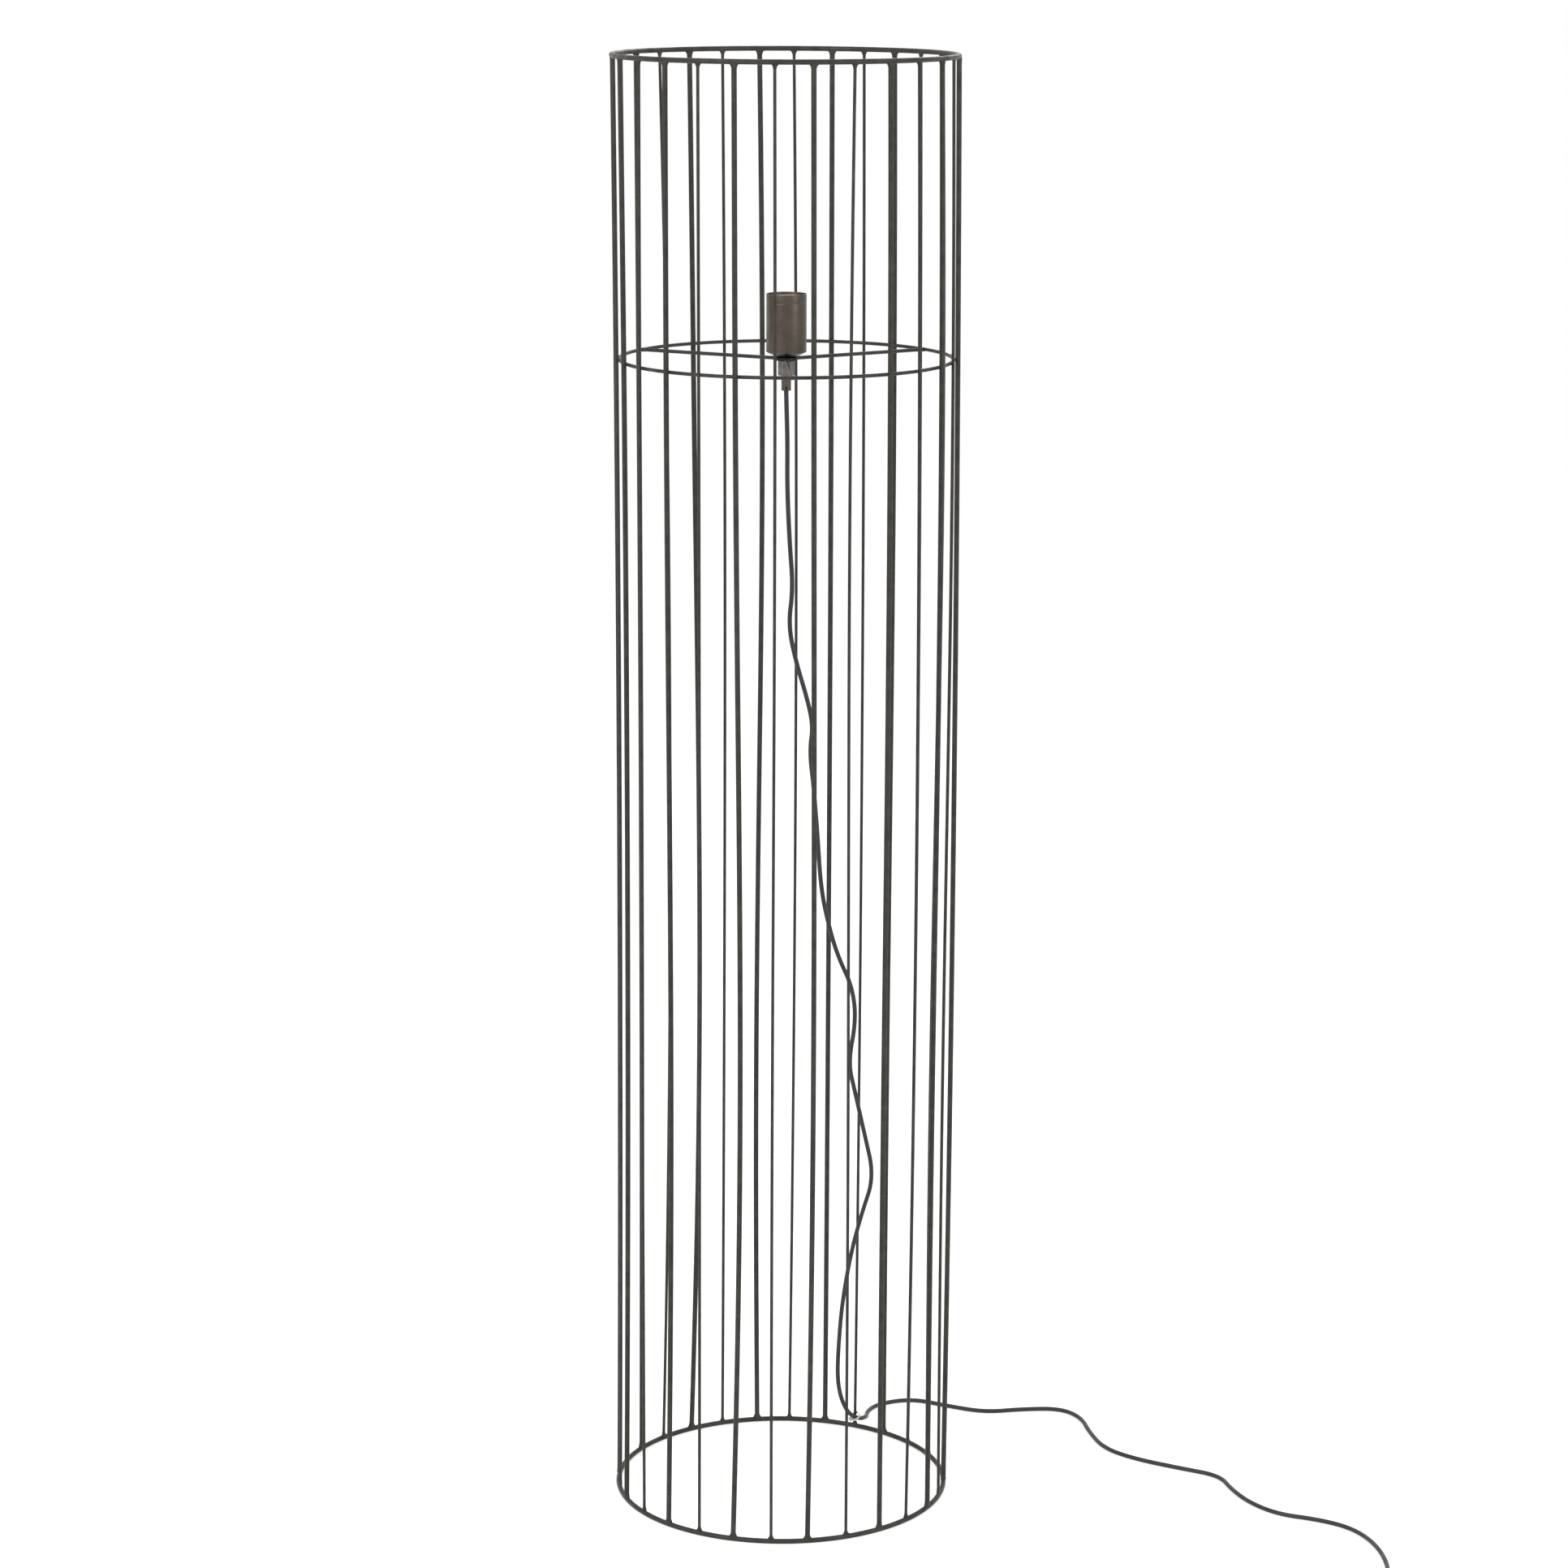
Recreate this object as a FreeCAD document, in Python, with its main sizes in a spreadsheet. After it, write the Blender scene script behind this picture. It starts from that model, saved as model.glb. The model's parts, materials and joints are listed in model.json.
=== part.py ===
import FreeCAD, Part
import math
import os
import re
import Sketcher

# Floor lamp of bare steel wire: a round cage of 28 uprights between two hoops, a third hoop with three
# spokes that carries the lampholder, and a round cord down the middle to an in-line switch and a plug.
# Millimetres and degrees. The origin is the middle of the bottom hoop on the floor, +Z is up.

Vector = FreeCAD.Vector
UP = Vector(0, 0, 1)
doc = FreeCAD.newDocument("wire_cage_lamp")

# ---------------------------------------------------------------------------------------------- sizes

SIZES = {
    # cage
    "cage_height": 1414, "cage_radius": 162.5, "hoop_wire": 5, "thick_wire": 5, "thin_wire": 3,
    "wire_pairs": 14, "first_angle": 9.7, "spacing_swing": 1.2, "swing_angle": 5, "side_lean": 3,
    "toe_wrap": 1.2, "toe_rise": 4.5, "toe_spread": 1.7,
    # seat hoop, spokes and washer
    "seat_height": 1127, "seat_wire": 3.5, "seat_gap": 0.05, "spoke_wire": 3.5, "spoke_count": 3,
    "spoke_angle": 272, "washer_radius": 11, "washer_thickness": 3,
    # lampholder cup
    "cup_radius": 19.15, "cup_wall": 0.8, "cup_height": 60.2, "cup_flat": 9, "cup_flare": 5,
    "cup_groove": 51.9, "groove_depth": 0.3, "groove_width": 0.9,
    # inner block, thread shell, contact and terminals
    "neck_radius": 8, "neck_height": 6.7, "block_radius": 17.6, "block_height": 11, "liner_radius": 17.9,
    "liner_bore": 14.2, "liner_height": 39, "channel_depth": 3.3, "channel_width": 2.6,
    "thread_radius": 13.25, "shell_wall": 0.45, "thread_length": 29, "shell_neck": 12, "shell_flange": 9.3,
    "strip_thickness": 0.5, "strip_width": 4, "tongue_rise": 5.5, "terminal_inset": 8,
    "terminal_length": 5.6, "terminal_width": 5, "terminal_height": 5.7, "terminal_screw": 1.25,
    "terminal_head": 2.4, "head_height": 1.8,
    # threaded tube, nut and cord grip
    "tube_radius": 4.95, "tube_bore": 3.5, "tube_length": 17.5, "thread_play": 0.05, "nut_across": 14,
    "nut_height": 14.5, "grip_radius": 4.65, "grip_length": 14.4, "grip_stub": 7, "grip_play": 0.05,
    "slit_width": 1.6, "slit_depth": 4.5, "grip_hole": 7.92, "grip_screw": 1.2, "grip_head": 1.9,
    # cord
    "cord_diameter": 4.4, "core_diameter": 1.8, "core_spacing": 2.2, "lead_straight": 4,
    "coil_radius": 27.3, "coil_pitch": 5.1, "coil_turns": 2, "coil_lift": 1.2,
    "tie_width": 2.4, "tie_thickness": 0.8, "tie_play": 0.3, "tie_head": 4.08, "head_depth": 3.26,
    # in-line switch
    "switch_length": 58, "switch_width": 20, "switch_height": 16, "switch_wall": 1.6,
    "switch_corner": 7, "switch_edge": 1.5, "pivot_height": 6, "pin_radius": 1, "pin_play": 0.05,
    "rocker_radius": 13, "rocker_width": 8.4, "rocker_gap": 0.3, "rocker_tilt": 7, "rocker_slope": 7,
    "valley_height": 10.3, "rocker_depth": 5.5, "hub_radius": 2.6, "web_half": 1.8, "ear_half": 3,
    "post_spacing": 36, "post_aside": 5.8, "post_radius": 2.9, "switch_screw": 1.2, "screw_head": 2.2,
    "screw_grip": 4, "contact_spacing": 24, "contact_height": 5.5,
    # plug
    "plug_length": 35, "plug_width": 26, "plug_nose": 15.5, "plug_height": 13.7, "plug_taper": 9,
    "plug_edge": 1.2, "relief_length": 22, "relief_radius": 4.6, "relief_tip": 3.1, "relief_rib": 2.2,
    "groove_count": 3, "rib_depth": 0.6,
    "plug_pin": 2, "pin_spacing": 18.6, "pin_length": 19, "pin_socket": 10, "pin_tip": 1.2,
}

# How far single uprights stand aside of the even spacing, in degrees, and how far they bow sideways at
# mid height, in mm: the cage is welded by hand, and these wires show it. The rest are straight.
WIRE_ASIDE = {0: -0.3, 1: -0.3, 3: 0.4, 5: -0.7, 7: -0.7, 10: 1, 11: 1, 12: 1.2, 13: 0.5, 14: -0.7,
              15: -1.2, 16: -0.4, 17: 0.4, 18: 0.3, 21: -0.7, 25: 0.3}
WIRE_BOW = {1: 1.5, 2: -1, 3: -1, 4: 0.5, 5: 2, 6: -2, 7: 1.5, 9: -6, 10: -8, 11: 2, 15: 2, 16: -6,
            18: -2.5, 19: 2.5, 20: -2, 21: 1, 22: -4.5, 23: 1, 24: 2, 25: -1.5}
TIED_WIRE = 4

# Where the in-line switch, the coil and the plug lie on the floor.
SWITCH_MIDDLE = Vector(492, -288, 0)
COIL_MIDDLE = Vector(385, -306, 0)
PLUG_ENTRY = Vector(311, -281, 0)

# Wires and cords are eight-sided. A cope takes in this many degrees of hoop each way, and an arc in the
# cord takes this share of each of its two runs.
SECTION_SIDES = 8
CORD_SIDES = 8
COPE_REACH = 3
ARC_SHARE = 0.45

sheet = doc.addObject("Spreadsheet::Sheet", "Sizes")
for row, (alias, number) in enumerate(SIZES.items(), start=1):
    sheet.set("A%d" % row, alias)
    sheet.set("B%d" % row, str(number))
    sheet.setAlias("B%d" % row, alias)
doc.recompute()


def size(text):
    """Value of a formula written with the sheet's aliases."""
    return float(sheet.evalExpression(text))


def bound(text):
    """The same formula as an expression that other objects can be bound to."""
    return re.sub(r"[a-z]+_[a-z]+", lambda found: "Sizes." + found.group(0), text)


# Heights that several pieces share.
WASHER_TOP = "(seat_height + washer_thickness / 2)"
WASHER_FOOT = "(seat_height - washer_thickness / 2)"
NUT_FOOT = "(%s - nut_height)" % WASHER_FOOT
GRIP_FOOT = "(%s - grip_length)" % NUT_FOOT
CUP_FLOOR = "(%s + cup_wall)" % WASHER_TOP
BLOCK_FOOT = "(%s + neck_height)" % CUP_FLOOR
BLOCK_TOP = "(%s + block_height)" % BLOCK_FOOT
TUBE_TOP = "(%s + neck_height)" % CUP_FLOOR
THREAD_BORE = "(tube_radius + thread_play)"

# ------------------------------------------------------------------------------------------ the helpers


def new_body(label):
    body = doc.addObject("PartDesign::Body", label)
    body.Label = label
    return body


def new_sketch(body, name, role, lift=None):
    """Sketch on one of the body's origin planes, lifted along its normal by a formula."""
    sketch = body.newObject("Sketcher::SketchObject", name)
    plane = [feature for feature in body.Origin.OriginFeatures if feature.Role == role][0]
    sketch.AttachmentSupport = (plane, [""])
    sketch.MapMode = "FlatFace"
    if lift:
        sketch.setExpression("AttachmentOffset.Base.z", bound(lift))
    return sketch


def outline(sketch, corners):
    """Closed outline whose corners are held at the X and Y that two formulas give for each."""
    spots = [Vector(size(across), size(along), 0) for across, along in corners]
    first = sketch.GeometryCount
    for index, spot in enumerate(spots):
        sketch.addGeometry(Part.LineSegment(spot, spots[(index + 1) % len(spots)]), False)
    for index, (across, along) in enumerate(corners):
        before = first + (index - 1) % len(corners)
        sketch.addConstraint(Sketcher.Constraint("Coincident", before, 2, first + index, 1))
        for kind, text in (("DistanceX", across), ("DistanceY", along)):
            number = sketch.addConstraint(Sketcher.Constraint(kind, -1, 1, first + index, 1, size(text)))
            sketch.setExpression("Constraints[%d]" % number, bound(text))


def circle(sketch, radius, across="0", along="0"):
    """Circle whose radius and centre are formulas."""
    centre = Vector(size(across), size(along), 0)
    index = sketch.addGeometry(Part.Circle(centre, UP, size(radius)), False)
    for kind, text in (("DistanceX", across), ("DistanceY", along)):
        number = sketch.addConstraint(Sketcher.Constraint(kind, -1, 1, index, 3, size(text)))
        sketch.setExpression("Constraints[%d]" % number, bound(text))
    number = sketch.addConstraint(Sketcher.Constraint("Radius", index, size(radius)))
    sketch.setExpression("Constraints[%d]" % number, bound(radius))


def revolved(label, corners):
    """Body turned about Z from an outline of (radius, height) formulas."""
    body = new_body(label)
    sketch = new_sketch(body, label + "_profile", "XZ_Plane")
    outline(sketch, corners)
    turn = body.newObject("PartDesign::Revolution", label + "_turn")
    turn.Profile = sketch
    turn.ReferenceAxis = (sketch, ["V_Axis"])
    turn.Angle = 360
    doc.recompute()
    return body


def feature_on(body, kind, name, sketch, length, reverse=False, midplane=False):
    feature = body.newObject("PartDesign::" + kind, name)
    feature.Profile = sketch
    feature.setExpression("Length", bound(length))
    feature.Reversed = reverse
    feature.Midplane = midplane
    doc.recompute()
    return feature


def cut_through(body, kind, name, sketch, length, reverse=False, midplane=False):
    """Pocket that must take something away."""
    before = body.Shape.Volume
    feature = feature_on(body, kind, name, sketch, length, reverse, midplane)
    if not body.Shape.Volume < before - 1e-6:
        raise ValueError("nothing was cut by " + name)
    return feature


def dressed(body, kind, name, wanted, reach):
    """Fillet or chamfer on the edges of the body's last feature that a test picks."""
    last = body.Tip
    edges = ["Edge%d" % (index + 1) for index, edge in enumerate(last.Shape.Edges) if wanted(edge)]
    feature = body.newObject("PartDesign::" + kind, name)
    feature.Base = (last, edges)
    feature.setExpression("Radius" if kind == "Fillet" else "Size", bound(reach))
    doc.recompute()


def solid(kind, name, formulas, base=None, rotation=None):
    """Part primitive with its sizes bound to formulas."""
    item = doc.addObject("Part::" + kind, name)
    for key, text in formulas.items():
        item.setExpression(key, bound(text))
    item.Placement = FreeCAD.Placement(base or Vector(), rotation or FreeCAD.Rotation())
    return item


def box(name, width, depth, height, x, y, z):
    """Box with its middle at x, y and its foot at z."""
    corner = Vector(size(x) - size(width) / 2, size(y) - size(depth) / 2, size(z))
    return solid("Box", name, {"Length": width, "Width": depth, "Height": height}, corner)


def rod(name, radius, length, base, direction):
    """Cylinder from base along direction."""
    turn = FreeCAD.Rotation(UP, direction)
    return solid("Cylinder", name, {"Radius": radius, "Height": length}, base, turn)


def combined(kind, name, first, *others):
    """Part::Cut, Part::MultiFuse, Part::MultiCommon or Part::Compound of document objects."""
    item = doc.addObject("Part::" + kind, name)
    if kind == "Cut":
        item.Base = first
        item.Tool = others[0]
    elif kind == "Compound":
        item.Links = [first, *others]
    else:
        item.Shapes = [first, *others]
    doc.recompute()
    return item


def shaped(label, shape):
    """Sub-part whose shape is worked out from the sheet."""
    item = doc.addObject("Part::Feature", label)
    item.Label = label
    item.Shape = shape
    return item


def even_area(sides):
    """Corner radius of a regular polygon whose area is that of a circle of radius 1."""
    return math.sqrt(2 * math.pi / (sides * math.sin(2 * math.pi / sides)))


def section_corners(centre_radius, height, diameter):
    """Formulas for the corners of a wire's section, with flats on top, below and on both sides."""
    reach = "%s / 2 * %.6f" % (diameter, even_area(SECTION_SIDES))
    step = 360 / SECTION_SIDES
    angles = [step * (index + 0.5) for index in range(SECTION_SIDES)]
    return [("%s + %s * cos(%g)" % (centre_radius, reach, angle),
             "%s + %s * sin(%g)" % (height, reach, angle)) for angle in angles]


def section_wire(centre, across, along, half_across, half_along, sides):
    """Closed polygon round centre, with its own half widths along two directions."""
    grow = even_area(sides)
    corners = []
    for index in range(sides):
        angle = 2 * math.pi * (index + 0.5) / sides
        corners.append(centre + across * (half_across * grow * math.cos(angle))
                       + along * (half_along * grow * math.sin(angle)))
    return Part.makePolygon(corners + corners[:1])


FLAT_SHARE = even_area(SECTION_SIDES) * math.cos(math.pi / SECTION_SIDES)


def flat_of(wire):
    """Distance from a wire's middle to its flats."""
    return size(wire) / 2 * FLAT_SHARE


# --------------------------------------------------------------------------------------------- the cage

foot_level = flat_of("hoop_wire")
head_level = size("cage_height") - foot_level
wire_count = 2 * int(round(size("wire_pairs")))


def sway(height, bow=0.0):
    """Lean towards +X and the wire's own bow at a height: straight runs through five stations."""
    share = min(max((height - foot_level) / (head_level - foot_level), 0), 1)
    lower = min(int(share * 4), 3) / 4
    upper = lower + 0.25
    part = (share - lower) / 0.25
    curve = 4 * lower * (1 - lower) * (1 - part) + 4 * upper * (1 - upper) * part
    return size("side_lean") * curve, bow * curve


def wire_angle(index):
    even = size("first_angle") + 360 / wire_count * index
    swing = size("spacing_swing") * math.cos(math.radians(even - size("swing_angle")))
    return even + swing + WIRE_ASIDE.get(index, 0)


def wire_size(index):
    return "thin_wire" if index % 2 == 0 else "thick_wire"


def wire_radius(index):
    """All the uprights touch one inner cylinder, so the thin ones stand a little further in."""
    return size("cage_radius") - flat_of("thick_wire") + flat_of(wire_size(index))


def wire_point(index, height):
    """Middle of an upright at a height."""
    angle = math.radians(wire_angle(index))
    outward = Vector(math.cos(angle), math.sin(angle), 0)
    aside = Vector(-math.sin(angle), math.cos(angle), 0)
    lean, bow = sway(height, WIRE_BOW.get(index, 0))
    return outward * wire_radius(index) + aside * bow + Vector(lean, 0, height)


def hoop(label, level):
    """Hoop of the outer wire, its flats level with the floor."""
    return revolved(label, section_corners("cage_radius", "%.6f" % level, "hoop_wire"))


def hoop_piece(level, angle):
    """Short stretch of a hoop, for the cope in an upright's end."""
    centre = Vector(size("cage_radius"), 0, level)
    half = size("hoop_wire") / 2
    face = Part.Face(section_wire(centre, Vector(1, 0, 0), UP, half, half, SECTION_SIDES))
    piece = face.revolve(Vector(), UP, 2 * COPE_REACH)
    piece.rotate(Vector(), UP, angle - COPE_REACH)
    return piece


def upright(index):
    """Bowed wire with a spread weld toe at each end, coped over both hoops."""
    angle = wire_angle(index)
    outward = Vector(math.cos(math.radians(angle)), math.sin(math.radians(angle)), 0)
    aside = UP.cross(outward)
    half = size(wire_size(index)) / 2
    hoop_half = flat_of("hoop_wire")
    wrap = size("toe_wrap")
    rise = hoop_half + size("toe_rise")
    span = head_level - foot_level
    stations = [(foot_level + wrap, half + size("toe_spread")), (foot_level + rise, half)]
    stations += [(foot_level + span * quarter / 4, half) for quarter in (1, 2, 3)]
    stations += [(head_level - rise, half), (head_level - wrap, half + size("toe_spread"))]
    wires = []
    for height, half_aside in stations:
        middle = wire_point(index, height)
        wires.append(section_wire(middle, outward, aside, half, half_aside, SECTION_SIDES))
    wire = Part.makeLoft(wires, True, True)
    return wire.cut(hoop_piece(foot_level, angle)).cut(hoop_piece(head_level, angle))


hoop("bottom_hoop", foot_level)
hoop("top_hoop", head_level)
for wire_index in range(wire_count):
    shaped("upright_%02d" % (wire_index + 1), upright(wire_index))

# ------------------------------------------------------------------- seat hoop, spokes and the washer

seat_shift = Vector(sway(size("seat_height"))[0], 0, 0)
print("lampholder axis at x = %.4f mm" % seat_shift.x)
seat_radius = size("cage_radius") - flat_of("thick_wire") - size("seat_gap") - flat_of("seat_wire")
SEATED = FreeCAD.Placement(seat_shift, FreeCAD.Rotation())

seat_hoop = revolved("seat_hoop", section_corners("%.6f" % seat_radius, "seat_height", "seat_wire"))
seat_hoop.Placement = SEATED

washer = revolved("hub_washer", [
    (THREAD_BORE, WASHER_FOOT), ("washer_radius", WASHER_FOOT), ("washer_radius", WASHER_TOP),
    (THREAD_BORE, WASHER_TOP)])
washer.Placement = SEATED

seat_hoop_copy = shaped("seat_hoop_copy", seat_hoop.Shape.copy())
seat_hoop_copy.Placement = FreeCAD.Placement()


def spoke(index):
    """Straight spoke, butted on the washer's rim and on the inside of the seat hoop."""
    angle = math.radians(size("spoke_angle") + 360 / size("spoke_count") * index)
    outward = Vector(math.cos(angle), math.sin(angle), 0)
    level = Vector(0, 0, size("seat_height"))
    name = "spoke_%d" % (index + 1)
    full = rod(name + "_rod", "spoke_wire / 2", "%.6f" % seat_radius, level, outward)
    hub = rod(name + "_hub", "washer_radius", "spoke_wire * 2", level - UP * size("spoke_wire"), UP)
    return combined("Cut", name, combined("Cut", name + "_open", full, hub), seat_hoop_copy)


spokes = combined("Compound", "spokes", *[spoke(index) for index in range(int(size("spoke_count")))])
spokes.Placement = SEATED

# ------------------------------------------------------------------------------------- the lampholder

groove_floor = "(cup_radius - groove_depth)"
groove_level = "(%s + cup_groove)" % WASHER_TOP
cup_shoulder = "(%s + cup_flare)" % WASHER_TOP
cup_rim = "(%s + cup_height)" % WASHER_TOP
cup = revolved("socket_cup", [
    (THREAD_BORE, WASHER_TOP), ("cup_flat", WASHER_TOP), ("cup_radius", cup_shoulder),
    ("cup_radius", "%s - groove_width / 2" % groove_level), (groove_floor, groove_level),
    ("cup_radius", "%s + groove_width / 2" % groove_level), ("cup_radius", cup_rim),
    ("cup_radius - cup_wall", cup_rim), ("cup_radius - cup_wall", "%s + cup_wall / 2" % cup_shoulder),
    ("cup_flat - cup_wall / 4", CUP_FLOOR), (THREAD_BORE, CUP_FLOOR)])
cup.Placement = SEATED

block = revolved("holder_insulator", [
    (THREAD_BORE, CUP_FLOOR), ("neck_radius", CUP_FLOOR), ("neck_radius", BLOCK_FOOT),
    ("block_radius", BLOCK_FOOT), ("block_radius", BLOCK_TOP), ("liner_radius", BLOCK_TOP),
    ("liner_radius", "%s + liner_height" % BLOCK_TOP), ("liner_bore", "%s + liner_height" % BLOCK_TOP),
    ("liner_bore", BLOCK_TOP), ("0", BLOCK_TOP), ("0", "%s + channel_depth" % BLOCK_FOOT),
    (THREAD_BORE, "%s + channel_depth" % BLOCK_FOOT)])
screw_level = "(%s + terminal_height / 2)" % BLOCK_FOOT


def insulator_cuts():
    """Cross channel for the two cores, pockets for the terminals, slots for the two straps."""
    channel = new_sketch(block, "core_channel", "XY_Plane", BLOCK_FOOT)
    half = "channel_width / 2"
    reach = "(terminal_inset + terminal_length / 2)"
    outline(channel, [("-" + reach, "-" + half), (reach, "-" + half), (reach, half), ("-" + reach, half)])
    cut_through(block, "Pocket", "core_channel_cut", channel, "channel_depth", reverse=True)
    pockets = new_sketch(block, "terminal_pockets", "XY_Plane", BLOCK_FOOT)
    near = "terminal_inset"
    far = "(terminal_inset + terminal_length)"
    side = "(terminal_width / 2)"
    outline(pockets, [(near, "-" + side), (far, "-" + side), (far, side), (near, side)])
    outline(pockets, [("-" + far, "-" + side), ("-" + near, "-" + side), ("-" + near, side),
                      ("-" + far, side)])
    cut_through(block, "Pocket", "terminal_pocket_cut", pockets, "terminal_height", reverse=True)
    slots = new_sketch(block, "strap_slots", "XY_Plane", BLOCK_TOP)
    left = "(shell_flange + strip_thickness)"
    right = "(terminal_inset + strip_thickness / 2)"
    side = "(strip_width / 2)"
    outline(slots, [("-" + left + " - strip_thickness", "-" + side), ("-" + left, "-" + side),
                    ("-" + left, side), ("-" + left + " - strip_thickness", side)])
    outline(slots, [(right, "-" + side), (right + " + strip_thickness", "-" + side),
                    (right + " + strip_thickness", side), (right, side)])
    cut_through(block, "Pocket", "strap_slot_cut", slots, "block_height - terminal_height")
    holes = new_sketch(block, "screw_holes", "YZ_Plane")
    circle(holes, "terminal_screw", "0", screw_level)
    cut_through(block, "Pocket", "screw_hole_cut", holes, "3 * block_radius", midplane=True)
    for name, lift, away in (("right", "block_radius - head_height", True),
                             ("left", "head_height - block_radius", False)):
        sink = new_sketch(block, "head_sink_" + name, "YZ_Plane", lift)
        circle(sink, "terminal_head + thread_play", "0", screw_level)
        cut_through(block, "Pocket", "head_sink_cut_" + name, sink, "block_radius", reverse=away)


insulator_cuts()
block.Placement = SEATED

thread_foot = "(%s + tongue_rise + strip_thickness)" % BLOCK_TOP
shell = revolved("thread_shell", [
    ("shell_flange", BLOCK_TOP), ("shell_neck + shell_wall", BLOCK_TOP),
    ("shell_neck + shell_wall", "%s - shell_wall" % thread_foot),
    ("thread_radius + shell_wall", "%s - shell_wall" % thread_foot),
    ("thread_radius + shell_wall", "%s + thread_length" % thread_foot),
    ("thread_radius", "%s + thread_length" % thread_foot), ("thread_radius", thread_foot),
    ("shell_neck", thread_foot), ("shell_neck", "%s + shell_wall" % BLOCK_TOP),
    ("shell_flange", "%s + shell_wall" % BLOCK_TOP)])


def shell_strap():
    """Strap from the flange of the thread shell down to the left terminal."""
    sketch = new_sketch(shell, "strap_profile", "XY_Plane", BLOCK_TOP)
    left = "(shell_flange + strip_thickness)"
    side = "(strip_width / 2)"
    outline(sketch, [("-" + left + " - strip_thickness", "-" + side), ("-" + left, "-" + side),
                     ("-" + left, side), ("-" + left + " - strip_thickness", side)])
    feature_on(shell, "Pad", "strap", sketch, "block_height - terminal_height", reverse=True)


shell_strap()
shell.Placement = SEATED


def centre_contact():
    """Sprung brass tongue: a foot on the block, a fold at its left end, and a strap to the terminal."""
    body = new_body("centre_contact")
    sketch = new_sketch(body, "tongue_profile", "XZ_Plane")
    skin = "strip_thickness"
    right = "(terminal_inset + strip_thickness / 2)"
    left = "(terminal_inset - strip_thickness)"
    strap_foot = "(%s - block_height + terminal_height)" % BLOCK_TOP
    outline(sketch, [
        (right, strap_foot), (right + " + " + skin, strap_foot),
        (right + " + " + skin, "%s + %s" % (BLOCK_TOP, skin)),
        ("-%s + %s" % (left, skin), "%s + %s" % (BLOCK_TOP, skin)),
        ("-%s + %s" % (left, skin), "%s + 3 * %s" % (BLOCK_TOP, skin)),
        ("%s / 3" % left, "%s + tongue_rise - %s" % (BLOCK_TOP, skin)),
        ("%s / 2" % left, "%s + tongue_rise - 2 * %s" % (BLOCK_TOP, skin)),
        ("%s / 2 + %s" % (left, skin), "%s + tongue_rise - %s" % (BLOCK_TOP, skin)),
        ("%s / 3" % left, "%s + tongue_rise" % BLOCK_TOP),
        ("-" + left, "%s + 4 * %s" % (BLOCK_TOP, skin)), ("-" + left, BLOCK_TOP), (right, BLOCK_TOP)])
    feature_on(body, "Pad", "tongue", sketch, "strip_width", midplane=True)
    body.Placement = SEATED


centre_contact()


def terminal_group():
    """Two brass blocks in their pockets, each with a blind hole for its screw."""
    blocks = []
    screws = []
    for name, side in (("right", 1), ("left", -1)):
        middle = "%d * (terminal_inset + terminal_length / 2)" % side
        brass = box("terminal_block_" + name, "terminal_length", "terminal_width", "terminal_height",
                    middle, "0", BLOCK_FOOT)
        tip = Vector(side * (size("terminal_inset") + size("terminal_length") / 2), 0, size(screw_level))
        seat = Vector(side * (size("block_radius") - size("head_height")), 0, size(screw_level))
        outward = Vector(side, 0, 0)
        reach = "block_radius - head_height - terminal_inset - terminal_length / 2"
        hole = rod("terminal_hole_" + name, "terminal_screw", reach, tip, outward)
        blocks.append(combined("Cut", "terminal_" + name, brass, hole))
        shank = rod("terminal_shank_" + name, "terminal_screw", reach, tip, outward)
        head = rod("terminal_head_" + name, "terminal_head", "head_height", seat, outward)
        screws.append(combined("MultiFuse", "terminal_screw_" + name, shank, head))
    for label, pieces in (("terminals", blocks), ("terminal_screws", screws)):
        combined("Compound", label, *pieces).Placement = SEATED


terminal_group()

tube = revolved("threaded_tube", [
    ("tube_bore", "%s - tube_length" % TUBE_TOP), ("tube_radius", "%s - tube_length" % TUBE_TOP),
    ("tube_radius", TUBE_TOP), ("tube_bore", TUBE_TOP)])
tube.Placement = SEATED


def hub_nut():
    """Tall hexagon nut under the washer: the threaded tube ends in it from above, the grip from below."""
    body = new_body("hub_nut")
    sketch = new_sketch(body, "nut_profile", "XY_Plane", NUT_FOOT)
    corner = "nut_across / 2 / cos(30)"
    outline(sketch, [("%s * cos(%d)" % (corner, 60 * index), "%s * sin(%d)" % (corner, 60 * index))
                     for index in range(6)])
    circle(sketch, THREAD_BORE)
    feature_on(body, "Pad", "nut", sketch, "nut_height")
    body.Placement = SEATED


hub_nut()
grip_screw_level = "(%s + grip_hole)" % GRIP_FOOT


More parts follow.
